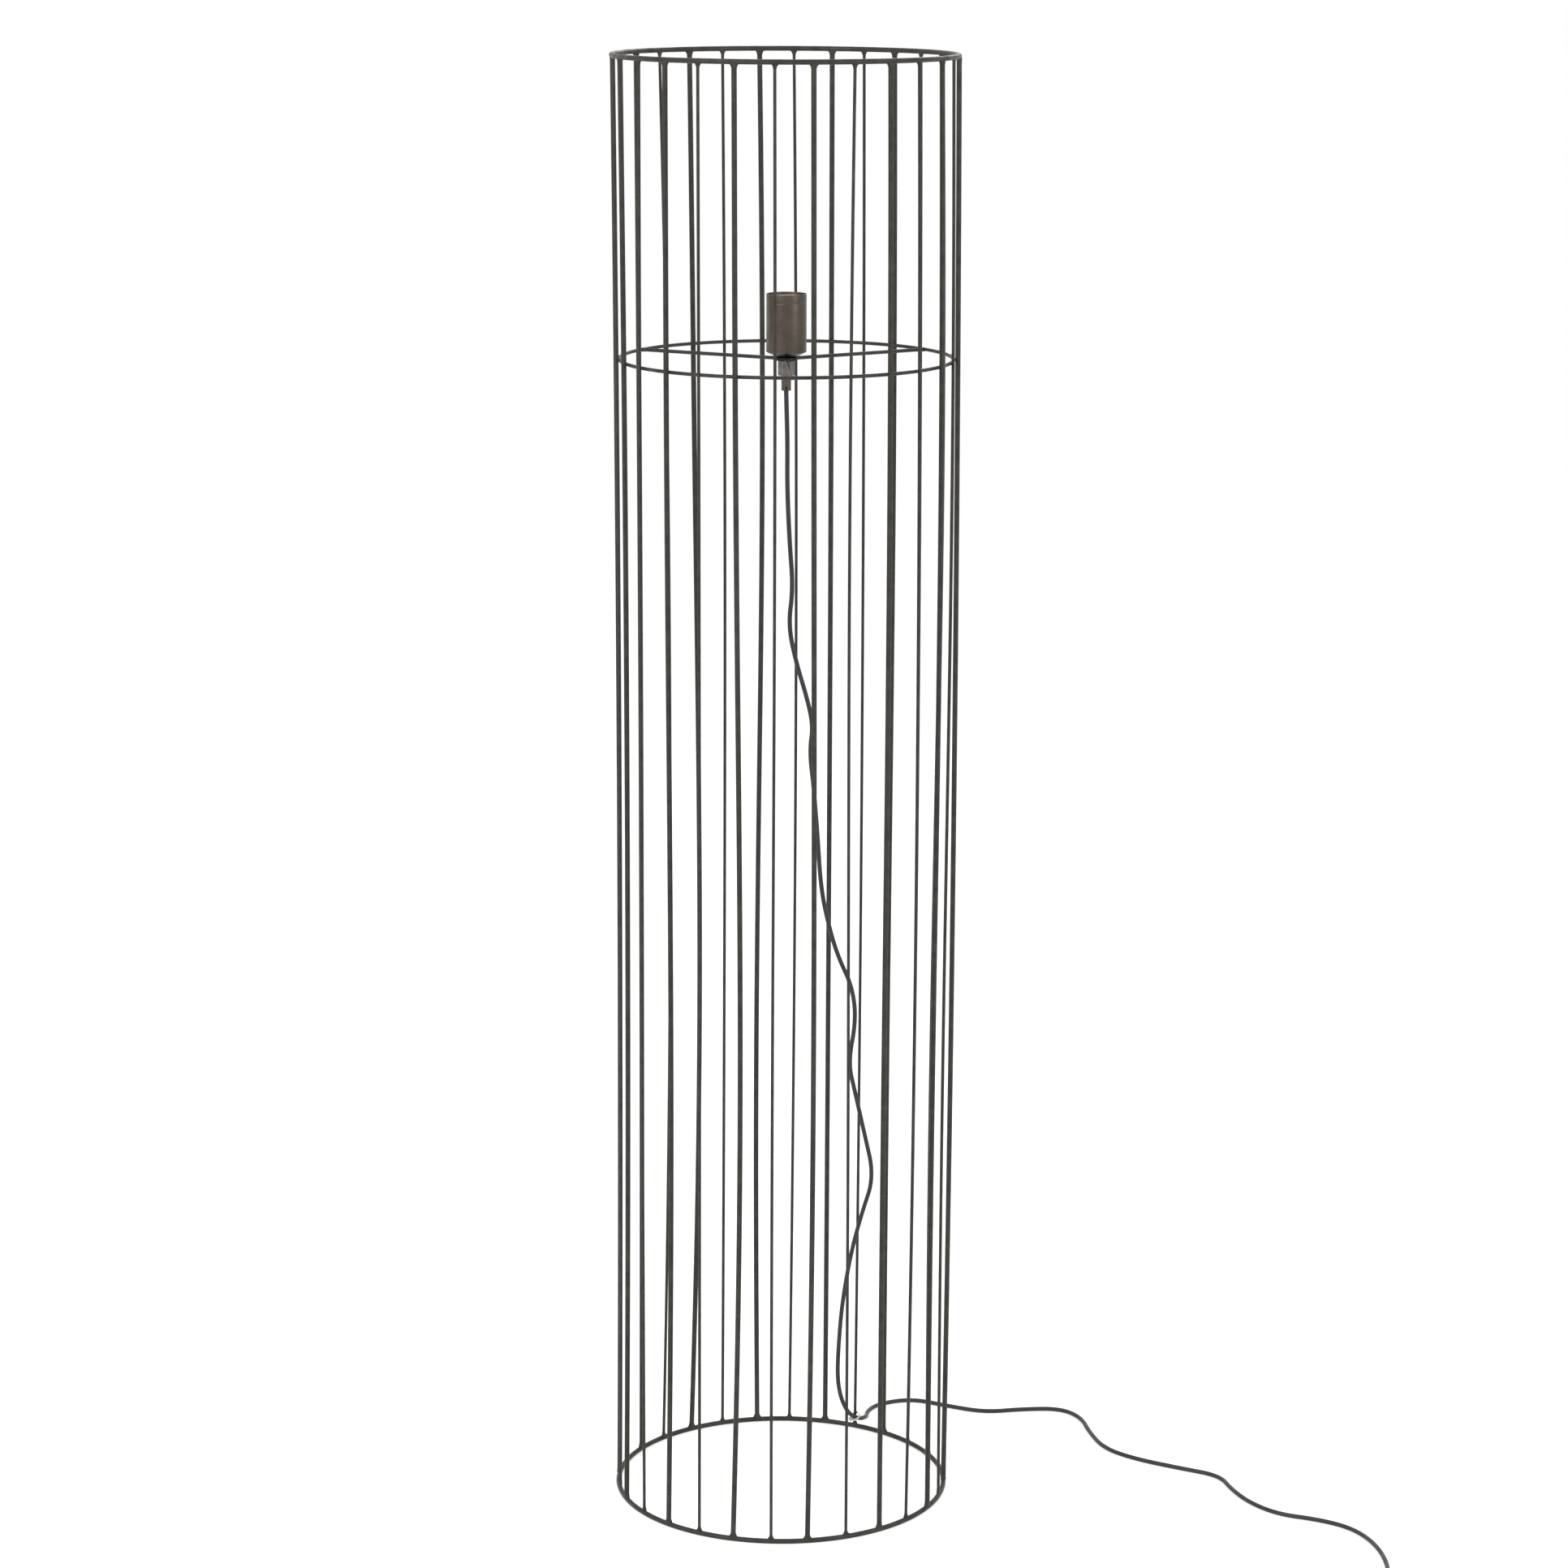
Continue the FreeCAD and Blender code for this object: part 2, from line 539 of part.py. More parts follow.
def cord_grip():
    """Turned barrel with a threaded stub above, split into two prongs below, and a side screw hole."""
    bore = "(cord_diameter / 2 + grip_play)"
    stub_top = "(%s + grip_stub)" % NUT_FOOT
    body = revolved("cord_grip", [
        (bore, GRIP_FOOT), ("grip_radius", GRIP_FOOT), ("grip_radius", NUT_FOOT),
        ("tube_radius", NUT_FOOT), ("tube_radius", stub_top), (bore, stub_top)])
    slit = new_sketch(body, "slit_profile", "XY_Plane", GRIP_FOOT)
    outline(slit, [("-slit_width / 2", "-2 * grip_radius"), ("slit_width / 2", "-2 * grip_radius"),
                   ("slit_width / 2", "2 * grip_radius"), ("-slit_width / 2", "2 * grip_radius")])
    cut_through(body, "Pocket", "slit", slit, "slit_depth", reverse=True)
    hole = new_sketch(body, "grip_screw_profile", "XZ_Plane")
    circle(hole, "grip_screw + thread_play", "0", grip_screw_level)
    cut_through(body, "Pocket", "grip_screw_hole", hole, "2 * grip_radius")
    body.Placement = SEATED
    start = Vector(0, size("cord_diameter") / 2, size(grip_screw_level))
    shank = rod("grip_screw_shank", "grip_screw", "grip_radius - cord_diameter / 2", start, Vector(0, 1, 0))
    seat = Vector(0, size("grip_radius"), size(grip_screw_level))
    head = rod("grip_screw_head", "grip_head", "head_height", seat, Vector(0, 1, 0))
    combined("MultiFuse", "grip_screw", shank, head).Placement = SEATED


cord_grip()

# --------------------------------------------------------------------------------- the cord and its ties

lead_top = "(%s + channel_depth / 3)" % TUBE_TOP
rod("cord_lead_in", "cord_diameter / 2", "%s - %s" % (lead_top, GRIP_FOOT),
    seat_shift + UP * size(GRIP_FOOT), UP)


def arc_edge(start, heading, end):
    """Arc that leaves start along heading and ends at end."""
    chord = end - start
    normal = heading.cross(chord)
    if normal.Length < 1e-9:
        return Part.LineSegment(start, end).toShape()
    inward = normal.cross(heading).normalize()
    radius = chord.dot(chord) / (2 * chord.dot(inward))
    centre = start + inward * radius
    middle = centre + ((start + end) * 0.5 - centre).normalize() * radius
    return Part.Arc(start, middle, end).toShape()


def run_path(points):
    """Straight runs joined by tangent arcs, each as large as its two runs allow."""
    edges = []
    radii = []
    last = points[0]
    for before, corner, after in zip(points, points[1:], points[2:]):
        arriving = (corner - before).normalize()
        leaving = (after - corner).normalize()
        reach = ARC_SHARE * min((corner - before).Length, (after - corner).Length)
        half_turn = arriving.getAngle(leaving) / 2
        radii.append(reach / math.tan(half_turn))
        start = corner - arriving * reach
        edges.append(Part.LineSegment(last, start).toShape())
        last = corner + leaving * reach
        edges.append(arc_edge(start, arriving, last))
    edges.append(Part.LineSegment(last, points[-1]).toShape())
    return Part.Wire(edges), radii


def swept(path, start, heading, diameter, sides):
    """Tube of one section along a path; its volume is compared with section times length."""
    across = heading.cross(UP) if abs(heading.z) < 0.9 else heading.cross(Vector(0, 1, 0))
    across.normalize()
    along = across.cross(heading).normalize()
    half = diameter / 2
    tube_shape = path.makePipeShell([section_wire(start, across, along, half, half, sides)], True, False)
    share = tube_shape.Volume / (path.Length * math.pi * half * half)
    if not 0.99 < share < 1.01:
        raise ValueError("tube volume off by a factor of %.3f" % share)
    return tube_shape


def cord_stretch(label, points):
    path, radii = run_path(points)
    heading = (points[1] - points[0]).normalize()
    shaped(label, swept(path, points[0], heading, size("cord_diameter"), CORD_SIDES))
    print("%s: length %.0f mm, radii from %.0f mm" % (label, path.Length, min(radii)))
    return path.Length


rest = size("cord_diameter") / 2 * even_area(CORD_SIDES)
grip_end = seat_shift + UP * size(GRIP_FOOT)

# Route of the cord from the grip down inside the cage, past the foot of one upright, over the bottom
# hoop and on over the floor to where it leaves the camera's view. Chosen by hand, in mm.
HANGING_ROUTE = [grip_end] + [Vector(*spot) for spot in [
    (2.2, 0.3, 1080), (3.2, 1, 1048), (3, 2.5, 1003), (5.5, 4, 950), (9, 5, 905), (4.5, 6.5, 869),
    (12, 7, 833), (22, 9.5, 800), (29, 10.5, 770), (25.5, 12.5, 744), (30, 16, 705), (34, 19, 655),
    (37.5, 24.5, 602), (46, 29.5, 562), (55, 32.5, 532), (69, 37, 501), (73, 42.5, 465),
    (65.5, 49.5, 420), (72.5, 56.5, 388), (82, 68, 343), (93, 80.5, 292), (81, 91, 250),
    (70.5, 101, 205), (62, 112, 148), (58.5, 120, 98), (57.5, 126, 58), (63, 129.5, 32)]]
FOOT_ROUTE = [Vector(*spot) for spot in [
    (72, 129.5, 18), (83, 136, 12.5), (88, 149, 10.5), (88.5, 166, 3)]]
NEAR_ROUTE = [Vector(across, along, rest) for across, along in [
    (90, 186), (103, 207), (138, 221), (176, 200)]]
FAR_ROUTE = [Vector(across, along, rest) for across, along in [
    (213, 183), (252, 192), (293, 194), (313, 168), (318, 128), (330, 82), (360, 53), (404, 28),
    (441, 9), (449, -28), (464, -63), (489, -91), (524, -103), (555, -124), (572, -160), (578, -205),
    (574, -248)]]
SWITCH_RISE = [Vector(562, -275, rest), Vector(545, -286, 4.5)]

switch_cord_level = size("switch_height") / 2
switch_reach = size("switch_length") / 2 - size("switch_wall") * 4
switch_entry = SWITCH_MIDDLE + Vector(switch_reach, 0, switch_cord_level)
switch_exit = SWITCH_MIDDLE + Vector(-switch_reach, 0, switch_cord_level)
switch_face = size("switch_length") / 2
lead_straight = size("lead_straight")

joint_spot = (NEAR_ROUTE[-1] + FAR_ROUTE[0]) * 0.5
hanging_length = cord_stretch("cord_hanging", HANGING_ROUTE + FOOT_ROUTE + NEAR_ROUTE + [joint_spot])
floor_length = cord_stretch("cord_floor", [joint_spot] + FAR_ROUTE + SWITCH_RISE + [
    SWITCH_MIDDLE + Vector(switch_face + lead_straight, 0, switch_cord_level), switch_entry])


def coil_point(turn):
    """Middle of the cord after some turns of the coil: inward below, outward again on top."""
    turns = size("coil_turns")
    angle = math.pi / 2 + 2 * math.pi * turn
    inward = turn if turn <= turns else 2 * turns - turn
    radius = size("coil_radius") - size("coil_pitch") * inward
    share = min(max((turn - (turns - 0.25)) / 0.5, 0), 1)
    level = size("coil_lift") + rest + size("coil_pitch") * (3 * share ** 2 - 2 * share ** 3)
    return COIL_MIDDLE + Vector(radius * math.cos(angle), radius * math.sin(angle), level)


def coil_heading(turn):
    step = 1e-4
    return (coil_point(turn + step) - coil_point(turn - step)).normalize()


def joined_arcs(start, heading, end, arriving):
    """Two arcs that join two points along two headings."""
    chord = end - start
    square = 2 * (heading.dot(arriving) - 1)
    linear = -2 * chord.dot(heading + arriving)
    constant = chord.dot(chord)
    root = math.sqrt(linear ** 2 - 4 * square * constant)
    reach = max((-linear + root) / (2 * square), (-linear - root) / (2 * square))
    near = start + heading * reach
    far = end - arriving * reach
    middle = (near + far) * 0.5
    return [arc_edge(start, heading, middle), arc_edge(middle, (far - near).normalize(), end)]


def coil():
    """The put-away length: turns piled in two layers, one unbroken tube."""
    step = 0.25
    steps = int(round(2 * size("coil_turns") / step))
    edges = []
    for index in range(steps):
        here = index * step
        there = here + step
        edges += joined_arcs(coil_point(here), coil_heading(here), coil_point(there), coil_heading(there))
    path = Part.Wire(edges)
    shaped("cord_coil", swept(path, coil_point(0), coil_heading(0), size("cord_diameter"), CORD_SIDES))
    samples = [coil_point(index / 96) for index in range(int(2 * size("coil_turns") * 96) + 1)]
    least = min((first - second).Length for index, first in enumerate(samples)
                for second in samples[index + 60:])
    print("cord_coil: length %.0f mm, least gap to itself %.2f mm" % (path.Length, least - 2 * rest))
    return path.Length


coil_length = coil()
coil_end = 2 * size("coil_turns")
coil_lead = 2 * lead_straight
to_coil_length = cord_stretch("cord_to_coil", [
    switch_exit, SWITCH_MIDDLE + Vector(-switch_face - lead_straight, 0, switch_cord_level),
    Vector(444, -285.5, 5), Vector(428, -281, 3.4), Vector(408, -279.2, 3.3),
    coil_point(0) - coil_heading(0) * coil_lead, coil_point(0)])
tail_length = cord_stretch("cord_tail", [
    coil_point(coil_end), coil_point(coil_end) + coil_heading(coil_end) * coil_lead,
    Vector(366, -279.5, 7), Vector(350, -282, 4), Vector(334, -283.5, 4.2), Vector(321, -281.6, 6.2),
    PLUG_ENTRY + Vector(lead_straight, 0, size("plug_height") / 2),
    PLUG_ENTRY + Vector(0, 0, size("plug_height") / 2)])
whole_length = hanging_length + floor_length + coil_length + to_coil_length + tail_length
print("cord from the grip to the plug: %.0f mm" % whole_length)


def cores():
    """The cord's two insulated cores, from its cut end along the channel to the terminals."""
    level = size(lead_top)
    channel_level = size(BLOCK_FOOT) + size("channel_depth") / 2
    pieces = []
    for side in (1, -1):
        start = Vector(side * size("core_spacing") / 2, 0, level)
        end = Vector(side * size("terminal_inset"), 0, channel_level)
        radius = channel_level - level
        turned = Vector(start.x + side * radius, 0, channel_level)
        arc = arc_edge(start, UP, turned)
        path = Part.Wire([arc, Part.LineSegment(turned, end).toShape()])
        pieces.append(swept(path, start, UP, size("core_diameter"), CORD_SIDES))
    shaped("cord_cores", Part.makeCompound(pieces)).Placement = SEATED


cores()


def belt(start, end, start_radius, end_radius, width, thickness, normal):
    """Flat band round two rods that it ties together, in the plane square to normal."""
    along = (end - start).normalize()
    aside = normal.cross(along).normalize()
    distance = (end - start).Length

    def loop(extra):
        near = start_radius + extra
        far = end_radius + extra
        tilt = math.asin((far - near) / distance)
        lean = aside * math.cos(tilt) - along * math.sin(tilt)
        mirrored = -aside * math.cos(tilt) - along * math.sin(tilt)
        near_top, near_foot = start + lean * near, start + mirrored * near
        far_top, far_foot = end + lean * far, end + mirrored * far
        return Part.Wire([
            Part.LineSegment(near_top, far_top).toShape(),
            Part.Arc(far_top, end + along * far, far_foot).toShape(),
            Part.LineSegment(far_foot, near_foot).toShape(),
            Part.Arc(near_foot, start - along * near, near_top).toShape()])

    outer = Part.Face(loop(thickness)).extrude(normal * width)
    band = outer.cut(Part.Face(loop(0)).extrude(normal * width))
    band.translate(normal * (-width / 2))
    return band


def foot_tie():
    """Nylon tie that holds the cord to the foot of one upright, with its head on the near side."""
    cord_middle = (FOOT_ROUTE[0] + FOOT_ROUTE[1]) * 0.5
    wire_middle = wire_point(TIED_WIRE, cord_middle.z)
    toward = (cord_middle - wire_middle).normalize()
    cord_heading = (FOOT_ROUTE[1] - FOOT_ROUTE[0]).normalize()
    normal = (cord_heading - UP).normalize()
    normal = (normal - toward * normal.dot(toward)).normalize()
    lean_share = abs(normal.dot(UP))
    play = size("tie_play")
    slip = size("tie_width") / 2 * math.tan(math.acos(lean_share))
    wire_room = size("thin_wire") / 2 / lean_share + slip + play
    cord_room = rest / abs(normal.dot(cord_heading)) + slip + play
    band = belt(wire_middle, cord_middle, wire_room, cord_room, size("tie_width"),
                size("tie_thickness"), normal)
    head_side = size("tie_head")
    head_depth = size("head_depth")
    aside = normal.cross(toward).normalize()
    head_middle = wire_middle + toward * (toward.dot(cord_middle - wire_middle) / 2)
    head_middle += aside * ((wire_room + cord_room) / 2 + size("tie_thickness") / 2 + head_side / 2)
    head = Part.makeBox(head_side, head_side, head_depth)
    head.translate(Vector(-head_side / 2, -head_side / 2, -head_depth / 2))
    frame = FreeCAD.Placement(head_middle, FreeCAD.Rotation(toward, aside, normal, "XYZ"))
    head.Placement = frame.multiply(head.Placement)
    shaped("cable_tie", band.fuse(head).removeSplitter())


foot_tie()


def coil_tie():
    """Nylon tie round the coil's four strands, opposite its loose ends."""
    quarter = 0.5
    strands = [coil_point(quarter + index) for index in range(int(coil_end))]
    inner = min((strand - COIL_MIDDLE).dot(Vector(0, -1, 0)) for strand in strands)
    outer = max((strand - COIL_MIDDLE).dot(Vector(0, -1, 0)) for strand in strands)
    low = min(strand.z for strand in strands)
    high = max(strand.z for strand in strands)
    room = rest + size("tie_play")
    band = size("tie_thickness")
    width = size("tie_width")
    opening = Part.makeBox(width * 3, outer - inner + 2 * room, high - low + 2 * room)
    opening.translate(Vector(-width * 1.5, -outer - room, low - room))
    around = Part.makeBox(width, outer - inner + 2 * (room + band), high - low + 2 * (room + band))
    around.translate(Vector(-width / 2, -outer - room - band, low - room - band))
    head_side = size("tie_head")
    head_depth = size("head_depth")
    head = Part.makeBox(head_side, head_depth, head_side)
    head.translate(Vector(-head_side / 2, -outer - room - band - head_depth, (low + high - head_side) / 2))
    item = shaped("coil_tie", around.cut(opening).fuse(head).removeSplitter())
    item.Placement = FreeCAD.Placement(Vector(COIL_MIDDLE.x, COIL_MIDDLE.y, 0), FreeCAD.Rotation())


coil_tie()

# ---------------------------------------------------------------------------------- the in-line switch

SWITCH_PLACE = FreeCAD.Placement(SWITCH_MIDDLE, FreeCAD.Rotation())
SPLIT = "(switch_height / 2)"
CORD_HOLE = "(cord_diameter / 2 * %.4f + grip_play)" % even_area(CORD_SIDES)


def rectangle(half_length, half_width):
    return [("-" + half_length, "-" + half_width), (half_length, "-" + half_width),
            (half_length, half_width), ("-" + half_length, half_width)]


def is_upright(edge):
    run = edge.Vertexes[-1].Point - edge.Vertexes[0].Point
    return abs(run.x) + abs(run.y) < 1e-6 and run.Length > 1


def lies_at(level):
    return lambda edge: all(abs(vertex.Z - level) < 1e-6 for vertex in edge.Vertexes)


def switch_shell(label, foot, outer_level, hollow_foot):
    """One half of the switch's housing: rounded outside, hollow, half a cord hole at each end."""
    body = new_body(label)
    plan = new_sketch(body, label + "_plan", "XY_Plane", foot)
    outline(plan, rectangle("(switch_length / 2)", "(switch_width / 2)"))
    feature_on(body, "Pad", label + "_pad", plan, SPLIT)
    dressed(body, "Fillet", label + "_corners", is_upright, "switch_corner")
    dressed(body, "Chamfer", label + "_edge", lies_at(size(outer_level)), "switch_edge")
    hollow = new_sketch(body, label + "_hollow", "XY_Plane", hollow_foot)
    outline(hollow, rectangle("(switch_length / 2 - switch_corner)", "(switch_width / 2 - switch_wall)"))
    cut_through(body, "Pocket", label + "_hollow_cut", hollow, SPLIT + " - switch_wall", reverse=True)
    ends = new_sketch(body, label + "_ends", "YZ_Plane")
    circle(ends, CORD_HOLE, "0", SPLIT)
    cut_through(body, "Pocket", label + "_cord_hole", ends, "switch_length * 2", midplane=True)
    posts = new_sketch(body, label + "_posts", "XY_Plane", hollow_foot)
    for side in ("-", ""):
        circle(posts, "post_radius", side + "post_spacing / 2", side + "post_aside")
    feature_on(body, "Pad", label + "_post_pad", posts, SPLIT + " - switch_wall")
    body.Placement = SWITCH_PLACE
    return body


def post_holes(body, name, foot, radius, depth):
    holes = new_sketch(body, name, "XY_Plane", foot)
    for side in ("-", ""):
        circle(holes, radius, side + "post_spacing / 2", side + "post_aside")
    cut_through(body, "Pocket", name + "_cut", holes, depth, reverse=True)


def lower_shell():
    body = switch_shell("switch_lower_shell", "0", "0", "switch_wall")
    ears = new_sketch(body, "pin_ears", "XY_Plane", "switch_wall")
    near = "(rocker_width / 2 + 2 * rocker_gap)"
    far = "(rocker_width / 2 + 2 * rocker_gap + switch_wall)"
    outline(ears, [("-ear_half", near), ("ear_half", near), ("ear_half", far), ("-ear_half", far)])
    outline(ears, [("-ear_half", "-" + far), ("ear_half", "-" + far), ("ear_half", "-" + near),
                   ("-ear_half", "-" + near)])
    feature_on(body, "Pad", "pin_ear_pad", ears, SPLIT + " - switch_wall")
    pin_hole = new_sketch(body, "pin_hole", "XZ_Plane")
    circle(pin_hole, "pin_radius", "0", "pivot_height")
    cut_through(body, "Pocket", "pin_hole_cut", pin_hole, "2 * " + far, midplane=True)
    post_holes(body, "screw_passage", "0", "switch_screw + thread_play", SPLIT)
    post_holes(body, "screw_sink", "0", "screw_head + thread_play", "head_height")


def upper_shell():
    body = switch_shell("switch_upper_shell", SPLIT, "switch_height", SPLIT)
    window = new_sketch(body, "rocker_window", "XZ_Plane")
    circle(window, "rocker_radius + rocker_gap", "0", "pivot_height")
    width = "rocker_width + 2 * rocker_gap"
    cut_through(body, "Pocket", "rocker_window_cut", window, width, midplane=True)
    post_holes(body, "screw_thread", SPLIT, "switch_screw", "screw_grip")


def switch_rocker():
    """Rocker: an arc at each end, a shallow valley on top, a web down to the hub round its pin."""
    body = new_body("switch_rocker")
    drum = new_sketch(body, "rocker_drum", "XZ_Plane")
    circle(drum, "rocker_radius")
    feature_on(body, "Pad", "rocker_pad", drum, "rocker_width", midplane=True)
    edge_out = "(2 * rocker_radius)"
    rise = "(valley_height + 2 * rocker_radius * tan(rocker_slope))"
    trim = new_sketch(body, "rocker_trim", "XZ_Plane")
    outline(trim, [("-" + edge_out, "-" + edge_out), (edge_out, "-" + edge_out),
                   (edge_out, "rocker_depth"), ("-" + edge_out, "rocker_depth")])
    outline(trim, [("-" + edge_out, rise), ("0", "valley_height"), (edge_out, rise),
                   (edge_out, "4 * rocker_radius"), ("-" + edge_out, "4 * rocker_radius")])
    cut_through(body, "Pocket", "rocker_trim_cut", trim, "rocker_width", midplane=True)
    web = new_sketch(body, "rocker_web", "XZ_Plane")
    outline(web, [("-web_half", "0"), ("web_half", "0"), ("web_half", "rocker_depth + switch_wall"),
                  ("-web_half", "rocker_depth + switch_wall")])
    feature_on(body, "Pad", "rocker_web_pad", web, "rocker_width", midplane=True)
    hub = new_sketch(body, "rocker_hub", "XZ_Plane")
    circle(hub, "hub_radius")
    feature_on(body, "Pad", "rocker_hub_pad", hub, "rocker_width", midplane=True)
    hole = new_sketch(body, "rocker_hole", "XZ_Plane")
    circle(hole, "pin_radius + pin_play")
    cut_through(body, "Pocket", "rocker_hole_cut", hole, "rocker_width * 2", midplane=True)
    pivot = SWITCH_MIDDLE + UP * size("pivot_height")
    body.Placement = FreeCAD.Placement(pivot, FreeCAD.Rotation(Vector(0, 1, 0), size("rocker_tilt")))


def switch_pin():
    reach = "(rocker_width / 2 + 2 * rocker_gap + switch_wall)"
    start = SWITCH_MIDDLE + Vector(0, -size(reach), size("pivot_height"))
    rod("switch_pin", "pin_radius", "2 * " + reach, start, Vector(0, 1, 0))


def switch_contacts():
    """Two bent brass strips on the floor of the housing, one under each end of the rocker."""
    strips = []
    for name, side in (("right", ""), ("left", "-")):
        body = new_body("contact_" + name)
        profile = new_sketch(body, "contact_profile_" + name, "XZ_Plane")
        near = "%s(contact_spacing / 2 - strip_width)" % side
        far = "%s(contact_spacing / 2)" % side
        inner = "%s(contact_spacing / 2 - strip_width + strip_thickness)" % side
        floor = "switch_wall"
        outline(profile, [(near, floor), (far, floor), (far, floor + " + strip_thickness"),
                          (inner, floor + " + strip_thickness"), (inner, floor + " + contact_height"),
                          (near, floor + " + contact_height")])
        feature_on(body, "Pad", "contact_pad_" + name, profile, "strip_width", midplane=True)
        strips.append(body)
    combined("Compound", "switch_contacts", *strips).Placement = SWITCH_PLACE


def switch_screws():
    screws = []
    for name, side in (("right", 1), ("left", -1)):
        foot = Vector(side * size("post_spacing") / 2, side * size("post_aside"), 0)
        head = rod("switch_screw_head_" + name, "screw_head", "head_height", foot, UP)
        shank = rod("switch_screw_shank_" + name, "switch_screw", SPLIT + " + screw_grip", foot, UP)
        screws.append(combined("MultiFuse", "switch_screw_" + name, head, shank))
    combined("Compound", "switch_screws", *screws).Placement = SWITCH_PLACE


lower_shell()
upper_shell()
switch_rocker()
switch_pin()
switch_contacts()
switch_screws()

# -------------------------------------------------------------------------------------------- the plug

PLUG_PLACE = FreeCAD.Placement(PLUG_ENTRY, FreeCAD.Rotation())
PLUG_BACK = "(relief_length + plug_length)"


def plug_body():
    """Flat two-pin plug that lies on the floor, moulded in one with its ribbed strain relief."""
    body = new_body("plug_body")
    relief = new_sketch(body, "relief_profile", "XZ_Plane")
    axis_level = "plug_height / 2"
    corners = [("0", axis_level), ("0", axis_level + " + relief_tip")]
    grooves = int(size("groove_count"))
    for index in range(grooves):
        share = (index + 0.5) / (grooves + 1)
        start = "-relief_length * %g" % share
        widen = "(relief_tip + (relief_radius - relief_tip) * %g)" % share
        corners += [(start, "%s + %s" % (axis_level, widen)),
                    (start, "%s + %s - rib_depth" % (axis_level, widen)),
                    (start + " - relief_rib / 2", "%s + %s - rib_depth" % (axis_level, widen)),
                    (start + " - relief_rib / 2", "%s + %s" % (axis_level, widen))]
    corners += [("-relief_length - plug_edge", axis_level + " + relief_radius"),
                ("-relief_length - plug_edge", axis_level)]
    outline(relief, corners)
    turn = body.newObject("PartDesign::Revolution", "relief_turn")
    turn.Profile = relief
    turn.ReferenceAxis = (relief, ["Edge%d" % len(corners)])
    turn.Angle = 360
    doc.recompute()
    plan = new_sketch(body, "plug_plan", "XY_Plane")
    shoulder = "(-relief_length - plug_taper)"
    outline(plan, [("-relief_length", "-plug_nose / 2"), ("-relief_length", "plug_nose / 2"),
                   (shoulder, "plug_width / 2"), ("-" + PLUG_BACK, "plug_width / 2"),
                   ("-" + PLUG_BACK, "-plug_width / 2"), (shoulder, "-plug_width / 2")])
    feature_on(body, "Pad", "plug_pad", plan, "plug_height")
    on_foot = lies_at(0)
    on_top = lies_at(size("plug_height"))
    dressed(body, "Chamfer", "plug_edges", lambda edge: on_foot(edge) or on_top(edge), "plug_edge")
    sockets = new_sketch(body, "pin_sockets", "YZ_Plane", "-" + PLUG_BACK)
    for side in ("-", ""):
        circle(sockets, "plug_pin", side + "pin_spacing / 2", axis_level)
    cut_through(body, "Pocket", "pin_socket_cut", sockets, "pin_socket", reverse=True)
    body.Placement = PLUG_PLACE


def plug_pins():
    pins = []
    outward = Vector(-1, 0, 0)
    inner_end = size("pin_socket - " + PLUG_BACK)
    straight = "pin_socket + pin_length - pin_tip"
    for name, side in (("right", 1), ("left", -1)):
        start = Vector(inner_end, side * size("pin_spacing / 2"), size("plug_height / 2"))
        shank = rod("plug_shank_" + name, "plug_pin", straight, start, outward)
        tip = solid("Cone", "plug_tip_" + name,
                    {"Radius1": "plug_pin", "Radius2": "plug_pin - pin_tip / 2", "Height": "pin_tip"},
                    start + outward * size(straight), FreeCAD.Rotation(UP, outward))
        pins.append(combined("MultiFuse", "plug_pin_" + name, shank, tip))
    combined("Compound", "plug_pins", *pins).Placement = PLUG_PLACE


plug_body()
plug_pins()

# ----------------------------------------------------------------------------------- checks and export

NODES = ["bottom_hoop", "top_hoop"]
NODES += ["upright_%02d" % (index + 1) for index in range(wire_count)]
NODES += ["seat_hoop", "spokes", "hub_washer", "socket_cup", "holder_insulator", "thread_shell",
          "centre_contact", "terminals", "terminal_screws", "threaded_tube", "hub_nut", "cord_grip",
          "grip_screw", "cord_lead_in", "cord_cores", "cord_hanging", "cord_floor", "cord_to_coil",
          "cord_coil", "cord_tail", "cable_tie", "coil_tie", "switch_lower_shell", "switch_upper_shell",
          "switch_rocker", "switch_pin", "switch_contacts", "switch_screws", "plug_body", "plug_pins"]

doc.recompute()
for item in doc.Objects:
    if "Invalid" in item.State or "Error" in item.State:
        raise ValueError("%s did not build: %s" % (item.Label, item.State))
for node in NODES:
    node_shape = doc.getObjectsByLabel(node)[0].Shape
    if node_shape.isNull() or not node_shape.isValid() or not node_shape.Solids:
        raise ValueError("%s has no valid shape" % node)

os.makedirs("parts", exist_ok=True)
for node in NODES:
    doc.getObjectsByLabel(node)[0].Shape.exportStep("parts/%s.step" % node)
print("%d sub-parts written" % len(NODES))
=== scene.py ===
import json
import math

import bmesh
import bpy
import numpy as np
from mathutils import Matrix, Vector, noise


